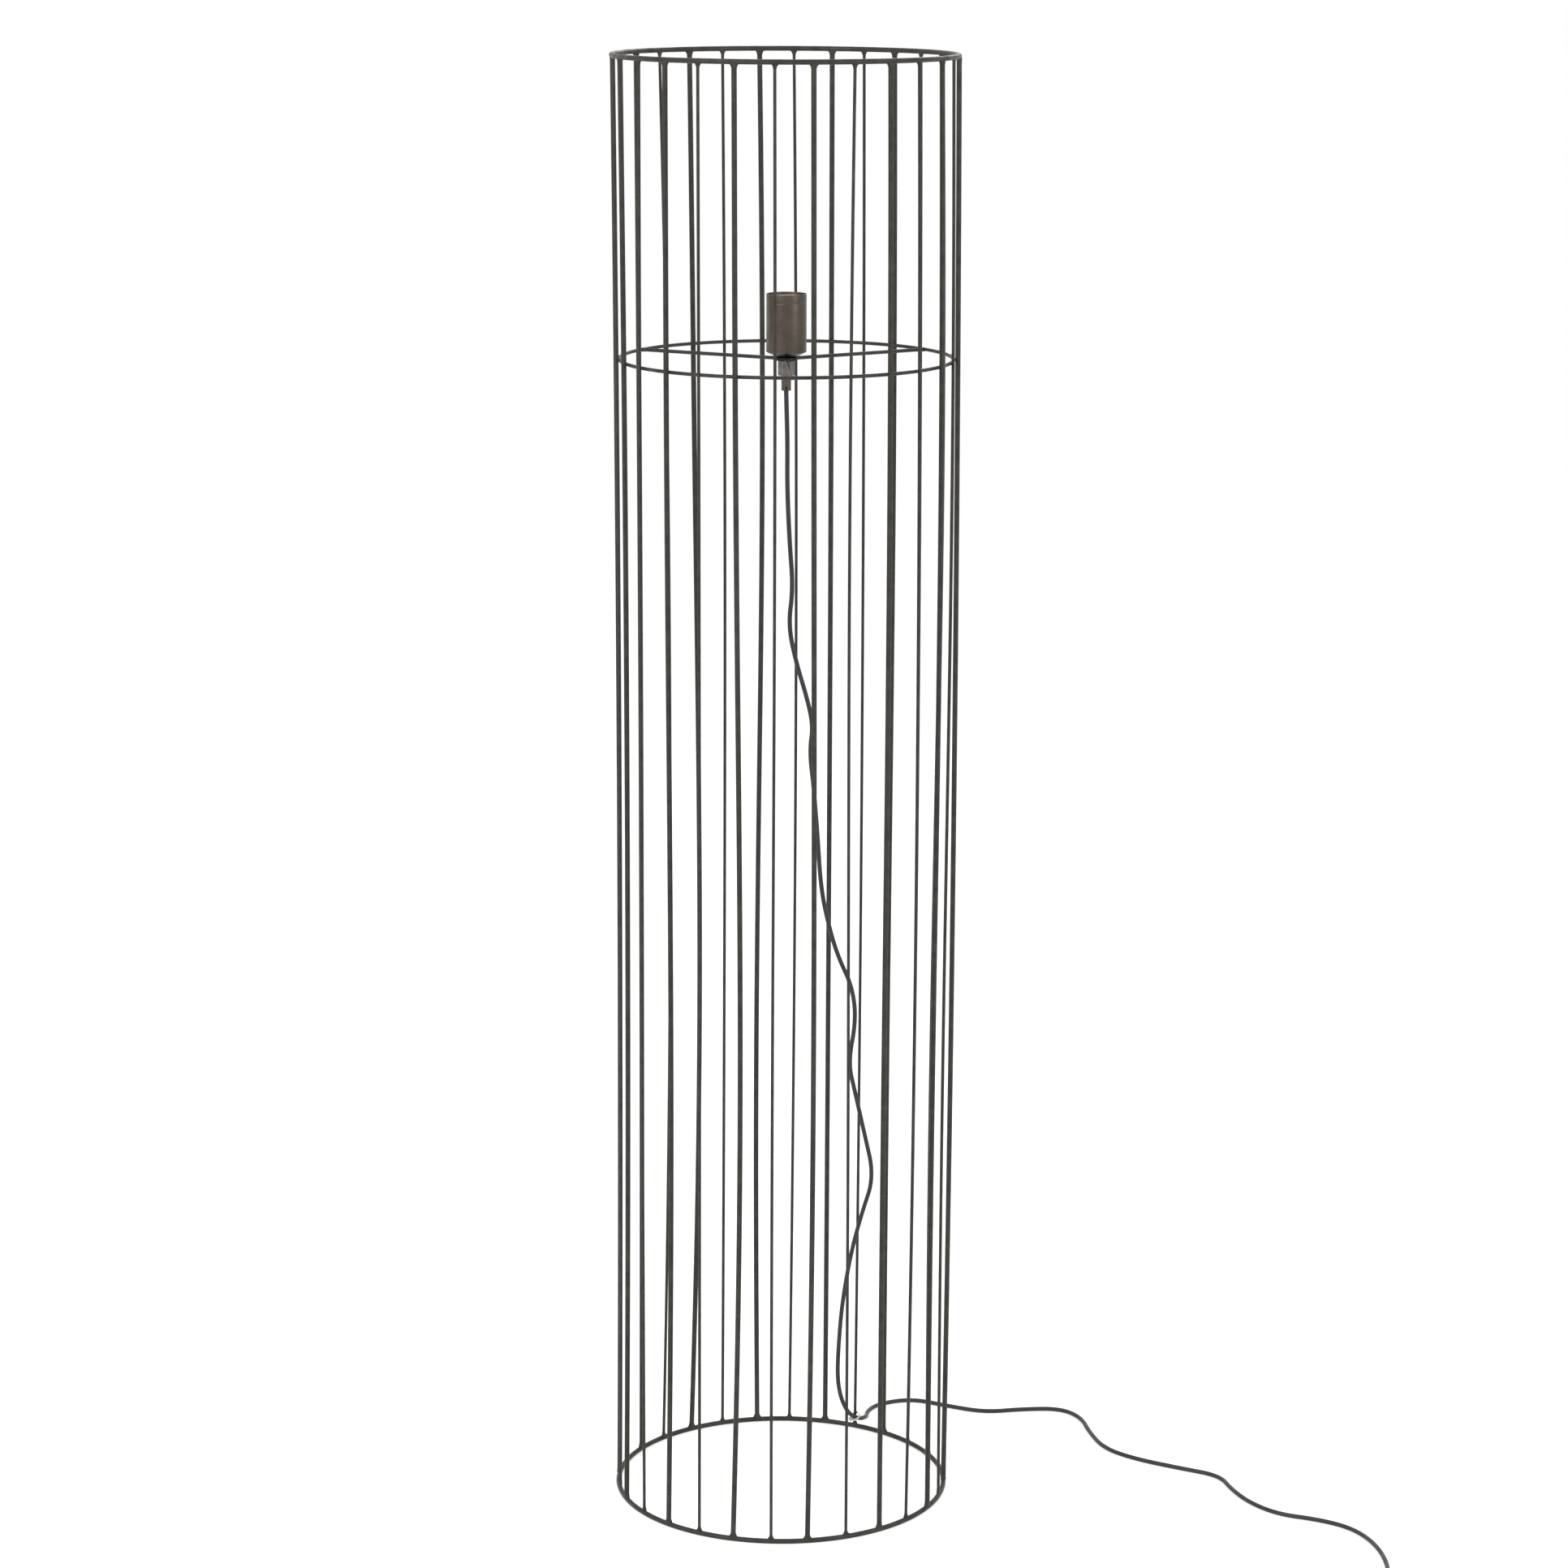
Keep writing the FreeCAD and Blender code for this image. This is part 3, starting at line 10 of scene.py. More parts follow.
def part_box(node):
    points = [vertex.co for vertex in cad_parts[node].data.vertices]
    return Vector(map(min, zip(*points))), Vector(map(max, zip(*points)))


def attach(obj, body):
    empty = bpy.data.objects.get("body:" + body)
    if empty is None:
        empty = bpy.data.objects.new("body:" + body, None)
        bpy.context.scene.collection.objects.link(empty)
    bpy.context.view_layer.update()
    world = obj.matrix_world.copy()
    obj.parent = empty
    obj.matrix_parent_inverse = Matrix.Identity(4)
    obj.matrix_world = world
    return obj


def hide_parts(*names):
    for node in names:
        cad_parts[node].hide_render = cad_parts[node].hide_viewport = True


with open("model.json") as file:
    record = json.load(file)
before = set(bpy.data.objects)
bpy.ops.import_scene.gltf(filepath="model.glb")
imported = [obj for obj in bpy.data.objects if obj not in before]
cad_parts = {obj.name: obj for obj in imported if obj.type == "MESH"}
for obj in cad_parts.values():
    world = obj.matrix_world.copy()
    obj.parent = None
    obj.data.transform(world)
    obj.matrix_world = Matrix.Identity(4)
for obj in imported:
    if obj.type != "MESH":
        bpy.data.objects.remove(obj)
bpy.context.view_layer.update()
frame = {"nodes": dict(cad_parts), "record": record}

# Looks of the wire cage floor lamp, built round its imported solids. Metres, +Z up; the camera's view of
# azimuth 0 looks along +Y. Sizes that the solids hold are read from them, and small ones are given in MM.

MM = 0.001
CORNER_SHARE = 1.0539  # a wire's solid is eight-sided: half across its corners over the round wire's radius
RIGHT, BACK, UP = Vector((1, 0, 0)), Vector((0, 1, 0)), Vector((0, 0, 1))


def middle(node):
    low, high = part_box(node)
    return (low + high) / 2


def placed(name, data):
    item = bpy.data.objects.new(name, data)
    bpy.context.scene.collection.objects.link(item)
    return item


def foot_of(node):
    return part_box(node)[0].z


def top_of(node):
    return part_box(node)[1].z


FOOT = middle("bottom_hoop").z
HEAD = middle("top_hoop").z
AXIS = middle("socket_cup")
SEAT = middle("seat_hoop").z
SWITCH = middle("switch_pin")
WASHER_LOW, WASHER_HIGH = foot_of("hub_washer"), top_of("hub_washer")
SHOULDER = WASHER_HIGH + 5 * MM  # where the cup's cone meets its side

# ---------- the camera

CAMERA_PLACE = Vector((0.0017, -3.8912, 1.56307))
CAMERA_PAN, CAMERA_TILT, CAMERA_ROLL = 0.000266, 0.198866, -0.003055  # radians
CAMERA_SENSOR, CAMERA_LENS = 36, 94.41  # the camera's own millimetres
CAMERA_SHIFT = -0.0419


def add_camera():
    """Camera of the photograph: above the cage's middle, looking down a little."""
    data = bpy.data.cameras.new("camera")
    camera = placed("camera", data)
    turn = Matrix.Rotation(CAMERA_PAN, 4, "Z") @ Matrix.Rotation(-CAMERA_TILT, 4, "X")
    turn = turn @ Matrix.Rotation(CAMERA_ROLL, 4, "Y")
    camera.matrix_world = Matrix.Translation(CAMERA_PLACE) @ turn @ Matrix.Rotation(math.pi / 2, 4, "X")
    data.sensor_width = CAMERA_SENSOR
    data.lens = CAMERA_LENS
    data.shift_y = CAMERA_SHIFT
    bpy.context.scene.camera = camera


add_camera()

# ---------- the materials

USUAL_NOISE = (0.3, 0.7)  # where most values of a noise lie
GRAIN_DENSITY, GRAIN_DEPTH = 2400, 0.05 * MM
# Painted shade: near-black colour stops laid on the cup's cone and the washer below the cup's shoulder, where
# shade falls under the cup, with a soft edge as wide as the fade.
PAINTED_SHADE = [(0.32, (0.010, 0.009, 0.008)), (0.68, (0.020, 0.018, 0.016))]
PAINTED_SHADE_FADE = 1.5 * MM


def shader_of(name, roughness, metallic=0.0, specular=0.5):
    """New material with its node tree, its Principled shader and the object's own coordinates."""
    material = bpy.data.materials.new(name)
    material.use_nodes = True
    tree = material.node_tree
    shader = tree.nodes["Principled BSDF"]
    shader.inputs["Roughness"].default_value = roughness
    shader.inputs["Metallic"].default_value = metallic
    shader.inputs["Specular IOR Level"].default_value = specular
    return material, tree, shader, tree.nodes.new("ShaderNodeTexCoord").outputs["Object"]


def noise_of(tree, spot, scale, detail=3.0):
    """Noise over the object."""
    texture = tree.nodes.new("ShaderNodeTexNoise")
    texture.inputs["Scale"].default_value = scale
    texture.inputs["Detail"].default_value = detail
    tree.links.new(spot, texture.inputs["Vector"])
    return texture.outputs["Fac"]


def ramp_of(tree, factor, stops):
    """Colour ramp over a factor; the two stops are (position, colour)."""
    ramp = tree.nodes.new("ShaderNodeValToRGB")
    for element, (position, colour) in zip(ramp.color_ramp.elements, stops):
        element.position = position
        element.color = (*colour, 1)
    tree.links.new(factor, ramp.inputs["Fac"])
    return ramp.outputs["Color"]


def mapped(tree, factor, given, wanted):
    """Factor whose given range is spread over the wanted one."""
    node = tree.nodes.new("ShaderNodeMapRange")
    for name, value in zip(("From Min", "From Max", "To Min", "To Max"), (*given, *wanted)):
        node.inputs[name].default_value = value
    tree.links.new(factor, node.inputs["Value"])
    return node.outputs["Result"]


def grained(tree, shader, spot, strength):
    """Fine unevenness of the surface."""
    bump = tree.nodes.new("ShaderNodeBump")
    bump.inputs["Strength"].default_value = strength
    bump.inputs["Distance"].default_value = GRAIN_DEPTH
    tree.links.new(noise_of(tree, spot, GRAIN_DENSITY, 2.0), bump.inputs["Height"])
    tree.links.new(bump.outputs["Normal"], shader.inputs["Normal"])


def with_painted_shade(tree, spot, patches, colour, level):
    """The colour above a level, and painted shade below it: near black, for the shade that falls under the
    cup.
    """
    axes = tree.nodes.new("ShaderNodeSeparateXYZ")
    tree.links.new(spot, axes.inputs["Vector"])
    blend = tree.nodes.new("ShaderNodeMix")
    blend.data_type = "RGBA"
    unshaded_share = mapped(tree, axes.outputs["Z"], (level - PAINTED_SHADE_FADE, level), (0, 1))
    tree.links.new(unshaded_share, blend.inputs["Factor"])
    tree.links.new(ramp_of(tree, patches, PAINTED_SHADE), blend.inputs["A"])
    tree.links.new(colour, blend.inputs["B"])
    return blend.outputs["Result"]


def mottled(name, dark, light, scale, roughness, metallic=0.0, specular=0.5, grain=0.0, painted_shade_below=None):
    """Two close colours in soft patches, a roughness that follows them, and a fine grain."""
    low, high = roughness
    material, tree, shader, spot = shader_of(name, (low + high) / 2, metallic, specular)
    patches = noise_of(tree, spot, scale, 4.0)
    colour = ramp_of(tree, patches, [(0.32, dark), (0.68, light)])
    # Painted shade: below the given level the colour turns near black.
    if painted_shade_below is not None:
        colour = with_painted_shade(tree, spot, patches, colour, painted_shade_below)
    tree.links.new(colour, shader.inputs["Base Color"])
    tree.links.new(mapped(tree, patches, USUAL_NOISE, (high, low)), shader.inputs["Roughness"])
    if grain:
        grained(tree, shader, spot, grain)
    return material


def translucent(name):
    """Milky nylon."""
    material, tree, shader, spot = shader_of(name, 0.35)
    tones = [(0.3, (0.62, 0.61, 0.58)), (0.7, (0.78, 0.77, 0.74))]
    tree.links.new(ramp_of(tree, noise_of(tree, spot, 300), tones), shader.inputs["Base Color"])
    shader.inputs["Transmission Weight"].default_value = 0.1
    shader.inputs["IOR"].default_value = 1.53
    return material


BRONZE = {"dark": (0.074, 0.059, 0.047), "light": (0.108, 0.088, 0.071), "scale": 55,
          "roughness": (0.3, 0.42), "metallic": 0.7, "grain": 0.15}
MATERIALS = {
    "bare_wire": mottled("wire steel", (0.038, 0.035, 0.031), (0.060, 0.055, 0.049), 90, (0.36, 0.52),
                         metallic=0.3, specular=0.25, grain=0.25),
    "dark_fittings": mottled("bronzed steel", **BRONZE),
    "insulator": mottled("glazed ceramic", (0.74, 0.71, 0.63), (0.84, 0.82, 0.76), 60, (0.12, 0.22)),
    "contact_brass": mottled("rolled brass", (0.60, 0.43, 0.18), (0.80, 0.62, 0.32), 130, (0.22, 0.38),
                             metallic=1.0, grain=0.2),
    "plated_steel": mottled("zinc plate", (0.50, 0.50, 0.49), (0.68, 0.68, 0.68), 160, (0.22, 0.36),
                            metallic=1.0, grain=0.15),
    "cord_sheath": mottled("cord sheath", (0.012, 0.012, 0.012), (0.022, 0.021, 0.021), 70, (0.4, 0.52),
                           grain=0.35),
    "core_sleeve": mottled("core sleeves", (0.16, 0.07, 0.03), (0.24, 0.12, 0.06), 200, (0.4, 0.5)),
    "clear_nylon": translucent("nylon"),
    "black_plastic": mottled("moulded black", (0.013, 0.013, 0.013), (0.022, 0.022, 0.021), 140, (0.42, 0.55),
                             grain=0.5),
    "rocker_plastic": mottled("polished black", (0.016, 0.016, 0.016), (0.026, 0.026, 0.026), 120,
                              (0.22, 0.3)),
}
# The cup's steel with painted shade below the shoulder, on its cone and on the washer.
SHADED_CUP_STEEL = mottled("cup steel with painted shade", painted_shade_below=SHOULDER, **BRONZE)
WORN_STEEL = mottled("worn steel", (0.115, 0.108, 0.100), (0.185, 0.176, 0.165), 190, (0.3, 0.42),
                     metallic=0.85, grain=0.15)
MARK_PAINT = mottled("mark paint", (0.62, 0.62, 0.60), (0.74, 0.74, 0.72), 900, (0.4, 0.5))

# ---------- the meshes


def dressed(piece, slot, nodes=(), body="lamp", look=None):
    """Gives a new piece the material of its slot, or a look of its own, hides the nodes it stands in for, and
    puts it on the body it rides on.
    """
    piece.data.materials.append(look or MATERIALS[slot])
    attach(piece, body)
    if nodes:
        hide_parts(*nodes)
    return piece


def smoothed(name, mesh, sharp):
    """Object of a mesh, smooth but for edges sharper than an angle."""
    mesh.shade_smooth()
    mesh.set_sharp_from_angle(angle=math.radians(sharp))
    return placed(name, mesh)


def mesh_piece(name, points, faces, sharp):
    """Object of one mesh, its faces turned outward."""
    mesh = bpy.data.meshes.new(name)
    mesh.from_pydata([tuple(point) for point in points], [], faces)
    work = bmesh.new()
    work.from_mesh(mesh)
    bmesh.ops.recalc_face_normals(work, faces=work.faces)
    work.to_mesh(mesh)
    work.free()
    return smoothed(name, mesh, sharp)


class Shapes:
    """Points and faces of several closed shapes that make one piece."""

    def __init__(self):
        self.points = []
        self.faces = []

    def loft(self, rings, closed=False):
        """Skin over rings of equal point counts; the ends are capped, or joined where it is closed."""
        first = len(self.points)
        count = len(rings[0])
        for ring in rings:
            self.points += [tuple(point) for point in ring]
        for row in range(len(rings) if closed else len(rings) - 1):
            here = first + row * count
            there = first + (row + 1) % len(rings) * count
            for column in range(count):
                beside = (column + 1) % count
                self.faces.append((here + column, here + beside, there + beside, there + column))
        if not closed:
            last = first + (len(rings) - 1) * count
            self.faces.append(tuple(range(first + count - 1, first - 1, -1)))
            self.faces.append(tuple(range(last, last + count)))

    def piece(self, name, sharp=35):
        return mesh_piece(name, self.points, self.faces, sharp)


def circle_of(sides):
    return [2 * math.pi * index / sides for index in range(sides)]


def ellipse(centre, across, along, half_across, half_along, sides):
    return [centre + across * (half_across * math.cos(angle)) + along * (half_along * math.sin(angle))
            for angle in circle_of(sides)]


def eased(corners, eases, steps):
    """Closed outline with each corner rounded off by its own reach, in its own number of steps."""
    corners = [np.array(corner, float) for corner in corners]
    points = []
    for index, (corner, ease, count) in enumerate(zip(corners, eases, steps)):
        before = corners[index - 1] - corner
        after = corners[(index + 1) % len(corners)] - corner
        start = corner + before * min(ease / np.linalg.norm(before), 0.45)
        end = corner + after * min(ease / np.linalg.norm(after), 0.45)
        for step in range(count + 1):
            share = step / count
            points.append((1 - share) ** 2 * start + 2 * share * (1 - share) * corner + share ** 2 * end)
    return points


def turned(shapes, profile, middle_point, segments, swell=None):
    """Ring of a closed (radius, height) outline about an upright axis."""
    rings = []
    for angle in circle_of(segments):
        ring = []
        for radius, height in profile:
            wide = radius + (swell(angle, radius, height) if swell else 0)
            ring.append((middle_point.x + wide * math.cos(angle), middle_point.y + wide * math.sin(angle),
                         height))
        rings.append(ring)
    shapes.loft(rings, closed=True)


# ---------- the cord

CORD_RADIUS = 2.2 * MM
REST = 0.00226  # height of the cord's middle where it lies on the floor

HANGING_ROUTE = [
    (0.0018175, 0.0, 1.0966), (0.0022, 0.0003, 1.080), (0.0032, 0.001, 1.048), (0.003, 0.0025, 1.003),
    (0.0055, 0.004, 0.950), (0.009, 0.005, 0.905), (0.0045, 0.0065, 0.869), (0.012, 0.007, 0.833),
    (0.022, 0.0095, 0.800), (0.029, 0.0105, 0.770), (0.0255, 0.0125, 0.744), (0.030, 0.016, 0.705),
    (0.034, 0.019, 0.655), (0.0375, 0.0245, 0.602), (0.046, 0.0295, 0.562), (0.055, 0.0325, 0.532),
    (0.069, 0.037, 0.501), (0.073, 0.0425, 0.465), (0.0655, 0.0495, 0.420), (0.0725, 0.0565, 0.388),
    (0.082, 0.068, 0.343), (0.093, 0.0805, 0.292), (0.081, 0.091, 0.250), (0.0705, 0.101, 0.205),
    (0.062, 0.112, 0.148), (0.0585, 0.120, 0.098), (0.0575, 0.126, 0.058), (0.063, 0.1295, 0.032)]
FOOT_ROUTE = [
    (0.072, 0.1295, 0.018), (0.083, 0.136, 0.0125), (0.088, 0.149, 0.0105), (0.0885, 0.166, 0.003)]
FLOOR_ROUTE = [(across, along, REST) for across, along in [
    (0.090, 0.186), (0.103, 0.207), (0.138, 0.221), (0.176, 0.200), (0.213, 0.183), (0.252, 0.192),
    (0.293, 0.194), (0.313, 0.168), (0.318, 0.128), (0.330, 0.082), (0.360, 0.053), (0.404, 0.028),
    (0.441, 0.009), (0.449, -0.028), (0.464, -0.063), (0.489, -0.091), (0.524, -0.103), (0.555, -0.124),
    (0.572, -0.160), (0.578, -0.205), (0.574, -0.248), (0.562, -0.275)]]
INTO_SWITCH = [(0.545, -0.286, 0.0045), (0.525, -0.288, 0.008), (0.5146, -0.288, 0.008)]
FROM_SWITCH = [
    (0.4694, -0.288, 0.008), (0.459, -0.288, 0.008), (0.444, -0.2855, 0.005), (0.428, -0.281, 0.0034),
    (0.408, -0.2792, 0.0033)]
TO_PLUG = [
    (0.366, -0.2795, 0.007), (0.350, -0.282, 0.004), (0.334, -0.2835, 0.0042), (0.321, -0.2816, 0.0062),
    (0.315, -0.281, 0.00685), (0.311, -0.281, 0.00685)]

COIL_MIDDLE = Vector((0.385, -0.306, 0.0))
COIL_RADIUS = 27.3 * MM
COIL_PITCH = 5.1 * MM
COIL_LIFT = 1.2 * MM
COIL_TURNS = 2
POINTS_IN_TURN = 16


def coil_point(turn):
    """Middle of the cord after some turns: inward on the lower layer, outward again on the upper."""
    angle = math.pi / 2 + 2 * math.pi * turn
    inward = turn if turn <= COIL_TURNS else 2 * COIL_TURNS - turn
    radius = COIL_RADIUS - COIL_PITCH * inward
    share = min(max((turn - (COIL_TURNS - 0.25)) / 0.5, 0), 1)
    level = COIL_LIFT + REST + COIL_PITCH * (3 * share ** 2 - 2 * share ** 3)
    return COIL_MIDDLE + Vector((radius * math.cos(angle), radius * math.sin(angle), level))


def routed(name, points, resolution):
    """Curve of one open spline whose control points are the route's."""
    curve = bpy.data.curves.new(name, "CURVE")
    curve.dimensions = "3D"
    spline = curve.splines.new("NURBS")
    spline.points.add(len(points) - 1)
    for point, spot in zip(spline.points, points):
        point.co = (*spot, 1)
    spline.order_u = 3
    spline.use_endpoint_u = True
    curve.resolution_u = resolution
    return curve


def cord_piece(name, points, nodes):
    """Round cord along its route."""
    curve = routed(name, points, 8)
    curve.bevel_depth = CORD_RADIUS
    curve.bevel_resolution = 5
    curve.use_fill_caps = True
    return dressed(placed(name, curve), "cord_sheath", nodes)


def add_cords():
    """The cord from the lampholder to the switch, and from the switch through the coil to the plug."""
    lamp_side = cord_piece("cord_lamp_side", HANGING_ROUTE + FOOT_ROUTE + FLOOR_ROUTE + INTO_SWITCH,
                           ["cord_hanging", "cord_floor"])
    steps = 2 * COIL_TURNS * POINTS_IN_TURN
    turns = [coil_point(step / POINTS_IN_TURN) for step in range(steps + 1)]
    plug_side = cord_piece("cord_plug_side", FROM_SWITCH + turns + TO_PLUG,
                           ["cord_to_coil", "cord_coil", "cord_tail"])
    return lamp_side, plug_side


LAMP_SIDE, PLUG_SIDE = add_cords()

# ---------- the cage

UPRIGHTS = 28
RING_SEGMENTS = 240
WELD_RISE = 4.6 * MM
WELD_SPREAD, WELD_SWELL = 1.8 * MM, 0.22 * MM  # along the hoop and across it
WELD_UNEVEN = 0.3
WELD_LUMP, LUMP_DENSITY = 0.16 * MM, 700
END_INSET = 0.35 * MM  # how much thinner a wire is where it ends inside a hoop
BEAD_LENGTH, BEAD_STEPS = 2.6 * MM, 6


def weld(distance, seed):
    """How much wider a wire is at a distance from the hoop it is welded to."""
    share = min(max(1 - distance / WELD_RISE, 0), 1)
    uneven = 1 + WELD_UNEVEN * noise.noise(Vector((seed * 3.7, 0.5, 0)))
    return WELD_SPREAD * uneven * share ** 2.2


def ring_piece(node, name, sides=24):
    """Round hoop in the place of an eight-sided one."""
    low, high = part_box(node)
    half = (high.z - low.z) / 2
    radius = (high.x - low.x) / 2 - half
    centre = (low + high) / 2
    shapes = Shapes()
    outline = [(radius + half * math.cos(angle), centre.z + half * math.sin(angle))
               for angle in circle_of(sides)]
    turned(shapes, outline, centre, RING_SEGMENTS)
    return dressed(shapes.piece(name, 60), "bare_wire", [node])


# Sideways bends of the hand-bent wires seen in the picture, in mm towards +X: of the S at a quarter of the
# height, and of the bow at its middle.
WIRE_BENDS = {
    1: (-1.5, -1.4), 2: (-2.2, 0), 4: (-0.8, -2), 7: (-0.2, -0.9), 8: (-2.5, -0.3), 9: (-0.3, -0.6),
    10: (2.0, 0), 18: (1.3, -0.5), 20: (2.2, -0.3), 21: (-0.5, -0.3), 22: (0.9, -0.6), 23: (1.0, -0.4),
    24: (-0.8, -2), 26: (-1.2, 0), 27: (-1.5, -1.4)}


def bend_of(index, height, outward):
    """How far a wire is bent aside at a height: along the hoop, or across the view at the cage's sides."""
    quarter, middle_bend = WIRE_BENDS.get(index, (0, 0))
    share = (height - FOOT) / (HEAD - FOOT)
    amount = (quarter * math.sin(2 * math.pi * share) + middle_bend * 4 * share * (1 - share)) * MM
    if abs(outward.y) > 0.5:
        return Vector((-outward.y, outward.x, 0)) * (-amount / outward.y)
    return Vector((amount, 0, 0))


def upright_line(node):
    """Bow of an upright read from its solid: x and y as curves of height, and its radius."""
    spots = np.array([vertex.co for vertex in frame["nodes"][node].data.vertices])
    rows = []
    for quarter in (0.25, 0.5, 0.75):
        height = FOOT + (HEAD - FOOT) * quarter
        ring = np.unique(spots[np.abs(spots[:, 2] - height) < 0.5 * MM][:, :2].round(6), axis=0)
        centre = ring.mean(axis=0)
        reach = np.linalg.norm(ring - centre, axis=1).max()
        rows.append((height, *centre, reach / CORNER_SHARE))
    rows = np.array(rows)
    return [np.polyfit(rows[:, 0], rows[:, column], 2) for column in (1, 2)], rows[:, 3].mean()


def at_height(lines, height):
    return Vector((np.polyval(lines[0], height), np.polyval(lines[1], height), height))


NEAR_HOOP = [-1.6, -1.2, -0.5, 0.2, 0.8, 1.5, 2.3, 3.3, 4.6, 7, 11]  # mm from a hoop's edge
SPANS, FAR = 32, 1.0


def upright_piece(index):
    """Slightly bowed round wire with a weld at each hoop."""
    node = "upright_%02d" % index
    lines, radius = upright_line(node)
    hoop_half = (top_of("bottom_hoop") - foot_of("bottom_hoop")) / 2
    low, high = FOOT + hoop_half, HEAD - hoop_half
    outward = at_height(lines, FOOT).xy.to_3d().normalized()
    aside = Vector((-outward.y, outward.x, 0))
    stations = [(low + reach * MM, reach * MM, 0) for reach in NEAR_HOOP]
    stations += [(low + (high - low) * step / SPANS, FAR, 0) for step in range(1, SPANS)]
    stations += [(high - reach * MM, reach * MM, 1) for reach in reversed(NEAR_HOOP)]
    rings = []
    for height, distance, end in stations:
        centre = at_height(lines, height) + bend_of(index, height, outward)
        inset_here = END_INSET if distance < -1.4 * MM else 0
        swell = WELD_SWELL * (1 if distance < 1 * MM else weld(distance, index) / WELD_SPREAD)
        left = radius + weld(distance, index * 4 + end * 2)
        right = radius + weld(distance, index * 4 + end * 2 + 1)
        ring = []
        for angle in circle_of(20):
            side = left if math.sin(angle) > 0 else right
            spot = (centre + outward * ((radius + swell - inset_here) * math.cos(angle))
                    + aside * (side * math.sin(angle)))
            if distance < WELD_RISE:
                spot += (spot - centre).normalized() * (noise.noise(spot * LUMP_DENSITY) * WELD_LUMP)
            ring.append(spot)
        rings.append(ring)
    shapes = Shapes()
    shapes.loft(rings)
    return dressed(shapes.piece("wire_%02d" % index, 50), "bare_wire", [node])


def seat_welds():
    """Small beads where the seat hoop touches the uprights."""
    shapes = Shapes()
    for index in range(1, UPRIGHTS + 1):
        lines, wire = upright_line("upright_%02d" % index)
        spot = at_height(lines, SEAT)
        spot += bend_of(index, SEAT, spot.xy.to_3d().normalized())
        inward = Vector((AXIS.x - spot.x, AXIS.y - spot.y, 0)).normalized()
        aside = Vector((-inward.y, inward.x, 0))
        contact = spot + inward * (wire + 0.1 * MM)
        for end in (-1, 1):
            rings = []
            for step in range(BEAD_STEPS + 1):
                share = step / BEAD_STEPS
                wide = math.sin(math.pi * (0.12 + 0.76 * share)) * MM
                centre = contact + aside * (end * (wire * 0.7 + (share - 0.35) * BEAD_LENGTH))
                rings.append(ellipse(centre, inward, UP, wide, 1.3 * wide, 10))
            shapes.loft(rings)
    return dressed(shapes.piece("seat_weld_beads", 70), "bare_wire")


def add_cage():
    ring_piece("bottom_hoop", "hoop_bottom")
    ring_piece("top_hoop", "hoop_top")
    ring_piece("seat_hoop", "hoop_seat", 20)
    for index in range(1, UPRIGHTS + 1):
        upright_piece(index)
    seat_welds()


add_cage()

# ---------- shapes for the small fittings

ROUNDING_STEPS = 4


def rounded_rectangle(half_across, half_along, corner, steps=6):
    """Outline of a rectangle with round corners about the origin."""
    points = []
    for quarter, (side_across, side_along) in enumerate(((1, 1), (-1, 1), (-1, -1), (1, -1))):
        for step in range(steps + 1):
            angle = math.pi / 2 * (quarter + step / steps)
            points.append((side_across * (half_across - corner) + corner * math.cos(angle),
                           side_along * (half_along - corner) + corner * math.sin(angle)))
    return points


def rounding(edge):
    """Rounded end of a block as (distance from the end, inset) pairs, from the end inward."""
    if edge == 0:
        return [(0, 0)]
    angles = [math.pi / 2 * step / ROUNDING_STEPS for step in range(ROUNDING_STEPS + 1)]
    return [(edge * (1 - math.cos(angle)), edge * (1 - math.sin(angle))) for angle in angles]


def block(shapes, centre, axes, halves, corner, edges):
    """Block with round corners about its third axis and rounded edges at its low and high end."""
    across, along, up = axes
    half_across, half_along, half_up = halves
    levels = [(reach - half_up, inset) for reach, inset in rounding(edges[0])]
    levels += [(half_up - reach, inset) for reach, inset in reversed(rounding(edges[1]))]
    rings = []
    for level, inset in levels:
        outline = rounded_rectangle(half_across - inset, half_along - inset, max(corner - inset, 0.05 * MM))
        rings.append([centre + across * x + along * y + up * level for x, y in outline])
    shapes.loft(rings)


def spun(shapes, stations, base, direction, sides=40):
    """Round solid along a direction, from (distance, radius) stations."""
    direction = Vector(direction).normalized()
    across = direction.orthogonal().normalized()
    along = direction.cross(across)
    shapes.loft([ellipse(base + direction * distance, across, along, radius, radius, sides)
                 for distance, radius in stations])


def band(shapes, circles, origin, across, along, width, thickness):
    """Flat tie drawn tight round circles (across, along, radius) that stand in order, anticlockwise."""
    circles = [np.array(circle, float) for circle in circles]
    count = len(circles)
    normal = across.cross(along)
    leaving = []
    for index, here in enumerate(circles):
        there = circles[(index + 1) % count]
        run = there[:2] - here[:2]
        lean = math.asin((here[2] - there[2]) / np.linalg.norm(run))
        leaving.append(math.atan2(run[1], run[0]) - math.pi / 2 + lean)
    section = rounded_rectangle(thickness / 2, width / 2, thickness * 0.3, 2)
    rings = []
    for index, (x, y, radius) in enumerate(circles):
        start = leaving[index - 1]
        turn = (leaving[index] - start) % (2 * math.pi)
        steps = max(int(math.degrees(turn) / 10), 2)
        for step in range(steps + 1):
            angle = start + turn * step / steps
            outward = across * math.cos(angle) + along * math.sin(angle)
            centre = origin + across * x + along * y + outward * (radius + thickness / 2)
            rings.append([centre + outward * depth + normal * side for depth, side in section])
    shapes.loft(rings, closed=True)


